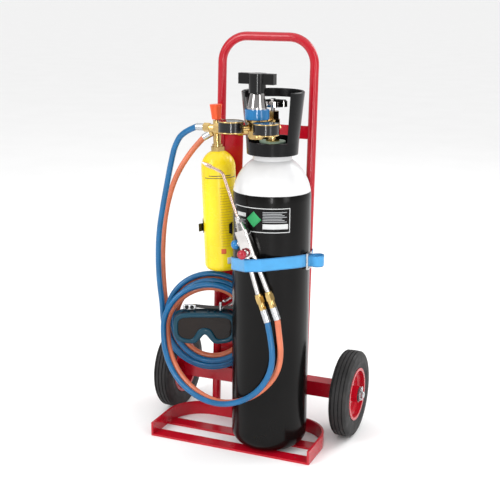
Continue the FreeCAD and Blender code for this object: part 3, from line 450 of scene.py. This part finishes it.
FUEL_LEAD_MM = [
    (122.2, -111.0, 330.0), (128, -112, 292), (131, -109, 252), (123, -106, 211),
    (101, -105, 176), (68, -107, 146), (25, -98, 121), (-24, -81, 105), (-75, -62.5, 106),
    (-124, -46, 123), (-160, -29.5, 150), (-184, -16.5, 185), (-192, -10, 221),
]
COIL_CENTRE_MM = (-10, 247)
COIL_STEP = 45
COIL_SPAN = (4, 1072)
POINTS_A_TURN = 14
# Each turn's radius and depth every 45 degrees, from the left side down and round.
OXYGEN_COIL_MM = [
    (112, 20), (114, 19), (119, 17), (117, 15), (112, 13), (114, 12), (117, 11), (113, 9),
    (104, 7), (106, 5), (108, 3), (106, 2), (100, 1), (101, 0), (103, -1), (99, -3),
    (89, -5), (87, -7), (93, -8), (95, -9), (93, -10), (93, -12), (95, -14), (102, -19),
    (110, -21),
]
# The fuel hose lies inside and behind the oxygen hose, and tucks further behind after one turn.
FUEL_COIL_MM = [(radius - 11.5, depth + 6) for radius, depth in OXYGEN_COIL_MM[:9]]
FUEL_COIL_MM += [(radius - 10.2, depth + 8) for radius, depth in OXYGEN_COIL_MM[9:10]]
FUEL_COIL_MM += [(radius - 9, depth + 9.4) for radius, depth in OXYGEN_COIL_MM[10:-2]]
FUEL_COIL_MM += [(90.5, -13), (102, -10.5)]


def coil_points(table):
    """Control points of a coil's turns, a little outside them, because the spline cuts inside."""
    points = []
    first, last = COIL_SPAN
    swell = 1 / math.cos(math.pi / POINTS_A_TURN)
    count = round((last - first) / 360 * POINTS_A_TURN)
    for number in range(count + 1):
        angle = first + (last - first) * number / count
        index = min(int(angle // COIL_STEP), len(table) - 2)
        share = angle / COIL_STEP - index
        radius, depth = (a + (b - a) * share for a, b in zip(table[index], table[index + 1]))
        radius *= swell
        side = COIL_CENTRE_MM[0] - radius * math.cos(math.radians(angle))
        level = COIL_CENTRE_MM[1] - radius * math.sin(math.radians(angle))
        points.append(hang(side, depth, level))
    return points


def hose(name, points, slot, hidden):
    curve = bpy.data.curves.new(name, "CURVE")
    curve.dimensions = "3D"
    spline = curve.splines.new("NURBS")
    spline.points.add(len(points) - 1)
    for control, point in zip(spline.points, points):
        control.co = (*point, 1)
    spline.order_u = 3
    spline.use_endpoint_u = True
    spline.resolution_u = 8
    curve.bevel_depth = HOSE_DIAMETER_MM * MM / 2
    curve.bevel_resolution = 6
    curve.use_fill_caps = True
    curve.materials.append(FINISHES[slot])
    piece = bpy.data.objects.new(name, curve)
    bpy.context.scene.collection.objects.link(piece)
    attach(piece, "cart")
    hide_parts(*hidden)


oxygen_line = [mm(*p) for p in OXYGEN_FEED_MM] + coil_points(OXYGEN_COIL_MM)
oxygen_line += [mm(*p) for p in OXYGEN_LEAD_MM[::-1]]
fuel_line = [mm(*p) for p in FUEL_FEED_MM] + coil_points(FUEL_COIL_MM)
fuel_line += [mm(*p) for p in FUEL_LEAD_MM[::-1]]
hose(
    "oxygen_hose", oxygen_line, "blue_hose",
    ("oxygen_hose_feed", "oxygen_hose_lead", "hose_coil"),
)
hose(
    "fuel_hose", fuel_line, "orange_hose",
    ("fuel_hose_feed", "fuel_hose_lead"),
)


# ---------------------------------------------------------------- cylinder strap
STRAP_GAP_MM = 0.8
STRAP_TALL_MM = 28
STRAP_THICK_MM = 1.9
# The circles that the strap goes round, seen from above: centre and radius. Where the radius is
# negative, the strap passes on the other side.
STRAP_STOPS_MM = [
    ((54, -112), 6),
    ((84, -112), 6),
    (CYLINDER_AXIS_MM, CYLINDER_RADIUS_MM),
    ((111, 105.6), 10),
    ((-61.5, 104.6), 2.2),
    ((-81.2, 54), -42.4),
    (CYLINDER_AXIS_MM, CYLINDER_RADIUS_MM),
]
STRAP_LEVEL_MM = 419.4
# How far the strap rises for each millimetre to the right, and for each to the back.
STRAP_RISE = (0.127, -0.138)
BELT_ARC_STEP_MM = 3
BELT_RUN_STEP_MM = 8


def belt_line(stops, extra):
    """Points, in millimetres, of a belt stretched round circles, seen from above."""
    leaves = []
    for (a, ra), (b, rb) in zip(stops, stops[1:] + stops[:1]):
        ra, rb = ra + extra, rb + extra
        dx, dy = b[0] - a[0], b[1] - a[1]
        reach = math.hypot(dx, dy)
        normal = math.atan2(dy, dx) - math.acos(max(-1, min(1, (ra - rb) / reach)))
        side = (math.cos(normal), math.sin(normal))
        leaves.append(
            ((a[0] + side[0] * ra, a[1] + side[1] * ra), (b[0] + side[0] * rb, b[1] + side[1] * rb))
        )
    line = []
    for number, (centre, radius) in enumerate(stops):
        arrive, (leave, far) = leaves[number - 1][1], leaves[number]
        radius += extra
        start = math.atan2(arrive[1] - centre[1], arrive[0] - centre[0])
        end = math.atan2(leave[1] - centre[1], leave[0] - centre[0])
        swing = (end - start) % math.tau if radius > 0 else -((start - end) % math.tau)
        parts = max(4, round(abs(swing * radius) / BELT_ARC_STEP_MM))
        for k in range(parts + 1):
            angle = start + swing * k / parts
            across, away = math.cos(angle), math.sin(angle)
            line.append((centre[0] + abs(radius) * across, centre[1] + abs(radius) * away))
        parts = max(1, round(math.dist(leave, far) / BELT_RUN_STEP_MM))
        for k in range(1, parts):
            line.append(tuple(p + (q - p) * k / parts for p, q in zip(leave, far)))
    return line


def ribbon(name, centres, ups, outs, tall, thick, slot, closed=False, hidden=()):
    """A flat band with rounded edges, and its weave coordinates as an attribute."""
    half, deep = tall / 2, thick / 2
    steps = 10
    edge_share = 0.45
    profile = []
    for face, order in ((deep, range(steps + 1)), (-deep, range(steps, -1, -1))):
        for k in order:
            across = -half + tall * k / steps
            profile.append((across, face * (1 if 0 < k < steps else edge_share)))
    sections = []
    runs = [0.0]
    for a, b in zip(centres, centres[1:]):
        runs.append(runs[-1] + (b - a).length)
    for centre, up, out in zip(centres, ups, outs):
        sections.append([centre + up * across + out * depth for across, depth in profile])
    vertices, faces = loft(sections, close_along=closed)
    piece = mesh_piece(name, vertices, faces, slot, level=1)
    weave = piece.data.attributes.new("weave", "FLOAT_VECTOR", "POINT")
    values = []
    for run in runs:
        for across, _ in profile:
            values += [run, across, abs(across) / half]
    weave.data.foreach_set("vector", values)
    if hidden:
        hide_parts(*hidden)
    return piece


def strap():
    line = belt_line(STRAP_STOPS_MM, STRAP_GAP_MM + STRAP_THICK_MM / 2)
    count = len(line)
    slope_x, slope_y = STRAP_RISE
    centres, ups, outs = [], [], []
    for number, (x, y) in enumerate(line):
        before, after = line[number - 1], line[(number + 1) % count]
        along = Vector((after[0] - before[0], after[1] - before[1], 0)).normalized()
        rise = slope_x * along.x + slope_y * along.y
        outward = Vector((along.y, -along.x, 0))
        centres.append(mm(x, y, STRAP_LEVEL_MM + slope_x * x + slope_y * y))
        ups.append(Vector((-along.x * rise, -along.y * rise, 1)).normalized())
        outs.append(outward)
    ribbon(
        "cylinder_strap_webbing", centres, ups, outs, STRAP_TALL_MM * MM, STRAP_THICK_MM * MM,
        "webbing", closed=True, hidden=("cylinder_strap",),
    )


strap()

TAIL_LEVEL_MM = 441
TAIL_TALL_MM = 25
TAIL_THICK_MM = 1.7
TAIL_BOW_MM = 1.5
TAIL_LEAN = 0.03
# The tail's line, seen from above: it comes out of the buckle, loops back and goes in again.
TAIL_MM = [
    (155.2, -9.5), (159.6, -9.0), (163.2, -5.0), (168, -0.6), (175, 1.5), (182.5, -0.6),
    (188, -6.5), (189.8, -14.5), (187.2, -21.8), (181, -26.5), (173.5, -27.0), (167, -24.4),
    (162.8, -21.2), (159.4, -23.4), (155.4, -24.2),
]


def tail():
    centres, ups, outs = [], [], []
    for number, ((x, y), along) in enumerate(zip(TAIL_MM, headings(TAIL_MM))):
        share = number / (len(TAIL_MM) - 1)
        centres.append(mm(x, y, TAIL_LEVEL_MM + TAIL_BOW_MM * math.sin(share * math.pi)))
        ups.append(Vector((TAIL_LEAN * math.sin(share * 5), 0, 1)).normalized())
        outs.append(Vector((-along.y, along.x, 0)))
    ribbon("strap_tail", centres, ups, outs, TAIL_TALL_MM * MM, TAIL_THICK_MM * MM, "webbing")


tail()


# ---------------------------------------------------------------- goggles
GOGGLES_MIDDLE_MM = -22
GOGGLES_LOW_MM = 214
GOGGLES_FRONT_MM = -69
GOGGLES_HALF_WIDE_MM = 74
GOGGLES_TALL_MM = 78
GOGGLES_CORNER_POWER = 0.42
OUTLINE_SAMPLES = 240
RING_POINTS = 132
ROUNDING_PASSES = 4
GOGGLES_FACE_CURVE_MM = 4
NOSE_HALF_MM = 12.5
NOSE_HIGH_MM = 25
NOSE_REACH_MM = 36
CHEEK_RISE_MM = 2
LENS_INSET_MM = 10
LENS_DEPTHS_MM = (4.2, 6.4)
# The frame's section from its lens groove, over the front and back edges, and round inside: how
# far in from the outline, and how deep behind the front.
FRAME_SECTION_MM = [
    (12.5, 3.6), (11.6, 1.2), (9.8, 0.2), (6.0, 0.0), (3.2, 0.8), (1.6, 3.0), (2.2, 8.0),
    (3.2, 14.0), (3.0, 22.0), (1.6, 28.0), (0.3, 32.0), (0.2, 34.5), (1.4, 35.8), (3.6, 35.6),
    (5.2, 33.0), (6.4, 26.0), (6.6, 16.0), (7.6, 8.4), (12.0, 7.4),
]
VENT_SIDES_MM = (-52, -38, -24, 8, 22, 36)
VENT_DEPTH_MM = 21
VENT_SINK_MM = 3.4
# Each vent's rise and radius, from its foot, over its top, to the bottom of its shallow hole.
VENT_SECTION_MM = ((0, 3.4), (1.6, 3.3), (2.4, 2.7), (2.5, 1.5), (1.4, 1.3))


def goggles_outline(inset):
    """The goggles' front outline, drawn in by an inset: side and level from the middle bottom."""
    wide, tall = GOGGLES_HALF_WIDE_MM, GOGGLES_TALL_MM
    points = []
    for number in range(OUTLINE_SAMPLES):
        angle = math.tau * number / OUTLINE_SAMPLES
        side, rise = math.cos(angle), math.sin(angle)
        x = (wide - inset) * squarer(side, GOGGLES_CORNER_POWER)
        z = tall / 2 + (tall / 2 - inset) * squarer(rise, GOGGLES_CORNER_POWER)
        if rise < 0:
            nose = math.exp(-((x / (NOSE_HALF_MM + inset * 0.75)) ** 4) * 0.9)
            if abs(x) < NOSE_REACH_MM:
                z = max(z, inset + (NOSE_HIGH_MM + inset * 0.35) * nose)
            z += CHEEK_RISE_MM * (abs(x) / wide) ** 3
        points.append((x, z))
    return points


def smooth_loop(points, times):
    for _ in range(times):
        count = len(points)
        points = [
            (
                (points[i - 1][0] + 2 * points[i][0] + points[(i + 1) % count][0]) / 4,
                (points[i - 1][1] + 2 * points[i][1] + points[(i + 1) % count][1]) / 4,
            )
            for i in range(count)
        ]
    return points


def even_loop(points, samples):
    """The same loop with its points an even distance apart."""
    ring = points + points[:1]
    runs = [0.0]
    for a, b in zip(ring, ring[1:]):
        runs.append(runs[-1] + math.dist(a, b))
    spread = []
    index = 0
    for number in range(samples):
        want = runs[-1] * number / samples
        while runs[index + 1] < want:
            index += 1
        share = (want - runs[index]) / max(runs[index + 1] - runs[index], 1e-9)
        a, b = ring[index], ring[index + 1]
        spread.append((a[0] + (b[0] - a[0]) * share, a[1] + (b[1] - a[1]) * share))
    return spread


def goggles_ring(inset, depth):
    loop = smooth_loop(even_loop(goggles_outline(inset), RING_POINTS), ROUNDING_PASSES)
    ring = []
    for x, z in loop:
        curve = GOGGLES_FACE_CURVE_MM * (x / GOGGLES_HALF_WIDE_MM) ** 2
        ring.append(hang(GOGGLES_MIDDLE_MM + x, GOGGLES_FRONT_MM + depth + curve, GOGGLES_LOW_MM + z))
    return ring


def goggles():
    rings = [goggles_ring(inset, depth) for inset, depth in FRAME_SECTION_MM]
    vertices, faces = loft(list(zip(*rings)), close_along=True)
    soft_frame = mesh_piece("goggles_soft_frame", vertices, faces, "goggle_rubber", level=1)
    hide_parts("goggles_frame")

    vertices, faces = loft([goggles_ring(LENS_INSET_MM, depth) for depth in LENS_DEPTHS_MM])
    lens = mesh_piece("goggles_shade", vertices, faces, "lens_dark", smooth=False)
    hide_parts("goggles_lens")

    vents = []
    foot = GOGGLES_LOW_MM + GOGGLES_TALL_MM - VENT_SINK_MM
    for side in VENT_SIDES_MM:
        middle, depth = GOGGLES_MIDDLE_MM + side, GOGGLES_FRONT_MM + VENT_DEPTH_MM
        rings = [
            [hang(middle + x, depth + y, foot + rise) for x, y in circle(radius, 16)]
            for rise, radius in VENT_SECTION_MM
        ]
        vents.append(loft(rings))
    mesh_piece("goggles_vents", *joined(vents), "goggle_rubber")


goggles()

ELASTIC_DEPTH_MM = -42
ELASTIC_TALL_MM = 24
ELASTIC_THICK_MM = 2.2
# The elastic's line: side and level, from the left clip over the hook to the right side.
ELASTIC_MM = [
    (-74, 297), (-66, 299.5), (-55, 301), (-44, 300.5), (-32, 299), (-18, 297.6), (-4, 296.8),
    (10, 296.4), (22, 296.6), (32, 297.4), (40, 297.2), (46, 294.6), (49.5, 289), (50.5, 281),
]


def goggles_elastic():
    turn = HANG.to_3x3()
    centres, ups, outs = [], [], []
    for (side, level), along in zip(ELASTIC_MM, headings(ELASTIC_MM)):
        centres.append(hang(side, ELASTIC_DEPTH_MM, level))
        ups.append((turn @ Vector((0, 1, 0))).normalized())
        outs.append((turn @ Vector((-along.y, 0, along.x))).normalized())
    ribbon(
        "goggles_elastic", centres, ups, outs, ELASTIC_TALL_MM * MM, ELASTIC_THICK_MM * MM,
        "elastic", hidden=("goggles_strap",),
    )


goggles_elastic()

SLIDE_MIDDLE_MM = (-57, 301.2)
SLIDE_HALF_MM = (15.5, 7.2)
SLIDE_POWERS = (0.6, 0.8)
# The slide plate's depths, and how much larger its outline is at each.
SLIDE_LAYERS_MM = ((-56.5, -1.2), (-55.5, 0), (-51.5, 0), (-50.5, -1.2))
LOOP_SIDES_MM = (-63.5, -51.5)
LOOP_LEVEL_MM = 301.4
LOOP_SECTION_MM = ((-55.0, 4.6), (-57.3, 4.6), (-58.2, 3.9), (-58.4, 2.6), (-57.4, 2.2))


def goggles_clip():
    """The moulded slide at the elastic's left end, with its two dark loops."""
    (middle, level), (half_wide, half_tall) = SLIDE_MIDDLE_MM, SLIDE_HALF_MM
    power_x, power_y = SLIDE_POWERS
    plate = [
        [
            hang(
                middle + (half_wide + grow) * squarer(x, power_x),
                depth,
                level + (half_tall + grow) * squarer(y, power_y),
            )
            for x, y in circle(1, 40)
        ]
        for depth, grow in SLIDE_LAYERS_MM
    ]
    mesh_piece("goggles_slide", *loft(plate), "zinc", level=1)
    loops = []
    for side in LOOP_SIDES_MM:
        rings = [
            [hang(side + x, depth, LOOP_LEVEL_MM + y) for x, y in circle(radius, 24)]
            for depth, radius in LOOP_SECTION_MM
        ]
        loops.append(loft(rings))
    mesh_piece("goggles_slide_loops", *joined(loops), "black_plastic")


goggles_clip()


# ---------------------------------------------------------------- labels: plain shapes only
FILM_LIFT_MM = 0.22
FILM_FOOT_MM = 0.02
FILM_COLUMNS, FILM_ROWS = 18, 4


def wrap(on, radius, phi_range, level_range, turn=0.0):
    """A thin patch that lies on an upright round body. turn of 45 degrees makes a diamond."""
    (phi0, phi1), (low, high) = phi_range, level_range
    arc = radius * math.radians(phi1 - phi0)
    tall = high - low
    c, s = math.cos(math.radians(turn)), math.sin(math.radians(turn))
    vertices, faces = [], []
    for layer in (FILM_LIFT_MM, FILM_FOOT_MM):
        reach = radius + layer
        for row in range(FILM_ROWS + 1):
            for column in range(FILM_COLUMNS + 1):
                u = (column / FILM_COLUMNS - 0.5) * arc
                v = (row / FILM_ROWS - 0.5) * tall
                u, v = u * c - v * s, u * s + v * c
                phi = math.radians((phi0 + phi1) / 2) + u / radius
                point = mm(reach * math.cos(phi), reach * math.sin(phi), (low + high) / 2 + v)
                vertices.append(on @ point)
    size = (FILM_ROWS + 1) * (FILM_COLUMNS + 1)

    def at(layer, row, column):
        return layer * size + row * (FILM_COLUMNS + 1) + column

    def side(a, b):
        faces.append((at(0, *a), at(0, *b), at(1, *b), at(1, *a)))

    for row in range(FILM_ROWS):
        for column in range(FILM_COLUMNS):
            square = [(row, column), (row, column + 1), (row + 1, column + 1), (row + 1, column)]
            faces.append(tuple(at(0, *corner) for corner in square))
            faces.append(tuple(at(1, *corner) for corner in square[::-1]))
    for row in range(FILM_ROWS):
        for column in (0, FILM_COLUMNS):
            side((row, column), (row + 1, column))
    for column in range(FILM_COLUMNS):
        for row in (0, FILM_ROWS):
            side((row, column), (row, column + 1))
    return vertices, faces


def label(name, patches, slot, material, on, radius):
    skins = [wrap(on, radius, *patch) for patch in patches]
    return mesh_piece(name, *joined(skins), slot, material=material)


WHITE_FILM = printed("white_film", (0.60, 0.61, 0.61))
GREY_FILM = printed("grey_film", (0.30, 0.31, 0.32))
GREEN_FILM = printed("green_film", (0.015, 0.30, 0.09))
TAN_INK = printed("tan_ink", (0.66, 0.44, 0.012))
RED_INK = printed("red_ink", (0.75, 0.12, 0.03))
DARK_INK = printed("dark_ink", (0.16, 0.12, 0.03))

LABEL_LEFT, LABEL_RIGHT = -133, -41.5
LABEL_LOW_MM, LABEL_HIGH_MM = 511.5, 564
OUTLINE_MM = 1.6
outline = math.degrees(OUTLINE_MM / CYLINDER_RADIUS_MM)
inner_low, inner_high = LABEL_LOW_MM + OUTLINE_MM, LABEL_HIGH_MM - OUTLINE_MM

# Each patch is its angles round the body in degrees, its levels in millimetres, and any turn.
LABEL_PANELS = [
    ((LABEL_LEFT, LABEL_RIGHT), (inner_high, LABEL_HIGH_MM)),
    ((LABEL_LEFT, LABEL_RIGHT), (LABEL_LOW_MM, inner_low)),
    ((LABEL_LEFT, LABEL_LEFT + outline), (inner_low, inner_high)),
    ((LABEL_RIGHT - outline, LABEL_RIGHT), (inner_low, inner_high)),
    ((-81.5, -44.5), (519.5, 530.5)),
    ((-127, -108.5), (542, 550.5)),
]
LABEL_BARS = [((-81.5, -46.5 - 3.5 * (k % 3)), (534.2 + 3.4 * k, 536.0 + 3.4 * k)) for k in range(7)]
LABEL_BARS += [((-127, -109 - 2.5 * (k % 2)), (520 + 3.6 * k, 521.8 + 3.6 * k)) for k in range(5)]
LABEL_DIAMOND = [((-103.2, -86.8), (526.8, 551.2), 45)]
BOTTLE_LINES = [((-64, 1.5 - 6 * (k % 4 == 2)), (60 + 6.1 * k, 61.5 + 6.1 * k)) for k in range(23)]
BOTTLE_MARK = [((-66, -49), (43.5, 55))]
BOTTLE_BAND = [((-118, 8), (216.5, 218.3)), ((-100, -20), (221.5, 223.5))]
BOTTLE_PATCH = [((-46, -27), (19, 34))]

for name, patches, film in (
    ("cylinder_label_white", LABEL_PANELS, WHITE_FILM),
    ("cylinder_label_bars", LABEL_BARS, GREY_FILM),
    ("cylinder_label_diamond", LABEL_DIAMOND, GREEN_FILM),
):
    label(name, patches, "black_paint", film, CYLINDER, CYLINDER_RADIUS_MM)
for name, patches, film in (
    ("bottle_lines", BOTTLE_LINES, TAN_INK),
    ("bottle_marks", BOTTLE_MARK, RED_INK),
    ("bottle_band", BOTTLE_BAND, DARK_INK),
    ("bottle_patch", BOTTLE_PATCH, WHITE_FILM),
):
    label(name, patches, "yellow_paint", film, BOTTLE, BOTTLE_RADIUS_MM)


# ---------------------------------------------------------------- gauge faces
GAUGE_REACH_MM = 56
GAUGE_HEADINGS = (-45, -135)
GAUGE_FACE_MM = 735.05
GAUGE_EDGES_MM = (718, 742)
TICKS = 28
FIRST_TICK = 225
TICK_STEP = 10
TICK_RADIUS_MM = 22
TICK_LIFT_MM = 0.12
# Length and half width of a long and a short tick.
LONG_TICK_MM = (5.0, 0.45)
SHORT_TICK_MM = (2.6, 0.25)
RIM_SECTION_MM = [(25.6, -0.15), (26.4, -0.2), (26.8, 0.3), (26.8, 1.6), (26.4, 2.1), (25.9, 2.2)]


def gauge_centres():
    angles = [math.radians(heading) for heading in GAUGE_HEADINGS]
    return [(GAUGE_REACH_MM * math.cos(angle), GAUGE_REACH_MM * math.sin(angle)) for angle in angles]


def gauge_marks():
    """Plain ticks round each dial, every third one long."""
    marks = []
    for x, y in gauge_centres():
        for number in range(TICKS):
            heading = math.radians(FIRST_TICK - number * TICK_STEP)
            across, away = math.cos(heading), math.sin(heading)
            length, half = SHORT_TICK_MM if number % 3 else LONG_TICK_MM
            inner = TICK_RADIUS_MM - length
            corners = [
                (x + across * reach - away * side, y + away * reach + across * side)
                for reach, side in (
                    (TICK_RADIUS_MM, -half), (TICK_RADIUS_MM, half), (inner, half), (inner, -half),
                )
            ]
            layers = [
                [REGULATOR @ mm(*corner, level) for corner in corners]
                for level in (GAUGE_FACE_MM, GAUGE_FACE_MM + TICK_LIFT_MM)
            ]
            marks.append(loft(layers))
    mesh_piece("gauge_marks", *joined(marks), "black_plastic", smooth=False)


def gauge_rims():
    """Thin turned brass rims round each gauge's two edges."""
    rims = []
    for x, y in gauge_centres():
        for level, up in zip(GAUGE_EDGES_MM, (1, -1)):
            sections = [
                [
                    REGULATOR @ mm(x + radius * across, y + radius * away, level + up * rise)
                    for radius, rise in RIM_SECTION_MM
                ]
                for across, away in circle(1, 72)
            ]
            rims.append(loft(sections, close_along=True))
    mesh_piece("gauge_rims", *joined(rims), "brass")


gauge_marks()
gauge_rims()


# ---------------------------------------------------------------- floor, light and camera
def floor():
    mesh = bpy.data.meshes.new("floor")
    half = 200
    corners = [(-half, -half, 0), (half, -half, 0), (half, half, 0), (-half, half, 0)]
    mesh.from_pydata(corners, [], [(0, 1, 2, 3)])
    n = Nodes("floor_paint")
    n.colour(n.ramp(n.noise(3, 3), [(0.3, (0.86, 0.86, 0.86)), (0.7, (0.88, 0.88, 0.88))]))
    n.roughness(n.noise(8, 3), 0.6, 0.7)
    mesh.materials.append(n.material)
    piece = bpy.data.objects.new("floor", mesh)
    bpy.context.scene.collection.objects.link(piece)


# Each light's place, the point it faces, its width and height, and its power in watts.
LIGHTS = {
    "key": ((-1.6, -2.6, 2.2), (0, 0, 0.5), 1.2, 2.2, 58),
    "fill": ((2.8, -1.4, 1.4), (0, 0, 0.5), 0.8, 2.4, 32),
    "rim": ((1.6, 2.2, 2.2), (0, 0, 0.5), 1.6, 1.6, 40),
    "strip": ((0.96, -2.3, 0.5), (0.06, -0.1, 0.75), 0.14, 0.5, 9),
}


def area_light(name, at, target, width, height, power):
    light = bpy.data.lights.new(name, "AREA")
    light.shape = "RECTANGLE"
    light.size, light.size_y = width, height
    light.energy = power
    piece = bpy.data.objects.new(name, light)
    piece.location = at
    piece.rotation_euler = (Vector(target) - Vector(at)).to_track_quat("-Z", "Y").to_euler()
    piece.visible_camera = False
    bpy.context.scene.collection.objects.link(piece)


# The grey of the surroundings: 0 is the horizon and all below it, and 1 is straight above.
SKY = [(0.0, 0.72), (0.1, 0.5), (0.4, 0.5), (0.7, 1.2), (1.0, 1.45)]


def world():
    sky = bpy.data.worlds.new("studio")
    sky.use_nodes = True
    tree = sky.node_tree
    background = tree.nodes["Background"]
    background.inputs["Strength"].default_value = 1.0
    direction = tree.nodes.new("ShaderNodeTexCoord")
    split = tree.nodes.new("ShaderNodeSeparateXYZ")
    ramp = tree.nodes.new("ShaderNodeValToRGB")
    tree.links.new(direction.outputs["Generated"], split.inputs["Vector"])
    tree.links.new(split.outputs["Z"], ramp.inputs["Fac"])
    tree.links.new(ramp.outputs["Color"], background.inputs["Color"])
    while len(ramp.color_ramp.elements) < len(SKY):
        ramp.color_ramp.elements.new(0.5)
    for element, (at, value) in zip(ramp.color_ramp.elements, SKY):
        element.position = at
        element.color = (value, value, value, 1)
    bpy.context.scene.world = sky
    bpy.context.scene.view_settings.view_transform = "Standard"


CAMERA_AT = (0.86366, -2.03756, 1.01071)
CAMERA_AHEAD = (-0.37355, 0.89377, -0.24827)
CAMERA_RIGHT = (0.9226, 0.3858, 0.0)
CAMERA_ROLL = 0.402
CAMERA_LENS = 73.75


def camera():
    ahead = Vector(CAMERA_AHEAD).normalized()
    right = Vector(CAMERA_RIGHT)
    right = (right - ahead * right.dot(ahead)).normalized()
    up = right.cross(ahead)
    roll = math.radians(CAMERA_ROLL)
    turned = right * math.cos(roll) + up * math.sin(roll)
    upright = up * math.cos(roll) - right * math.sin(roll)
    lens = bpy.data.cameras.new("camera")
    lens.lens = CAMERA_LENS
    lens.sensor_width = 36
    lens.clip_end = 1000
    piece = bpy.data.objects.new("camera", lens)
    axes = Matrix((turned, upright, -ahead)).transposed()
    piece.matrix_world = Matrix.Translation(Vector(CAMERA_AT)) @ axes.to_4x4()
    bpy.context.scene.collection.objects.link(piece)
    bpy.context.scene.camera = piece


floor()
world()
for name, settings in LIGHTS.items():
    area_light(name, *settings)
camera()
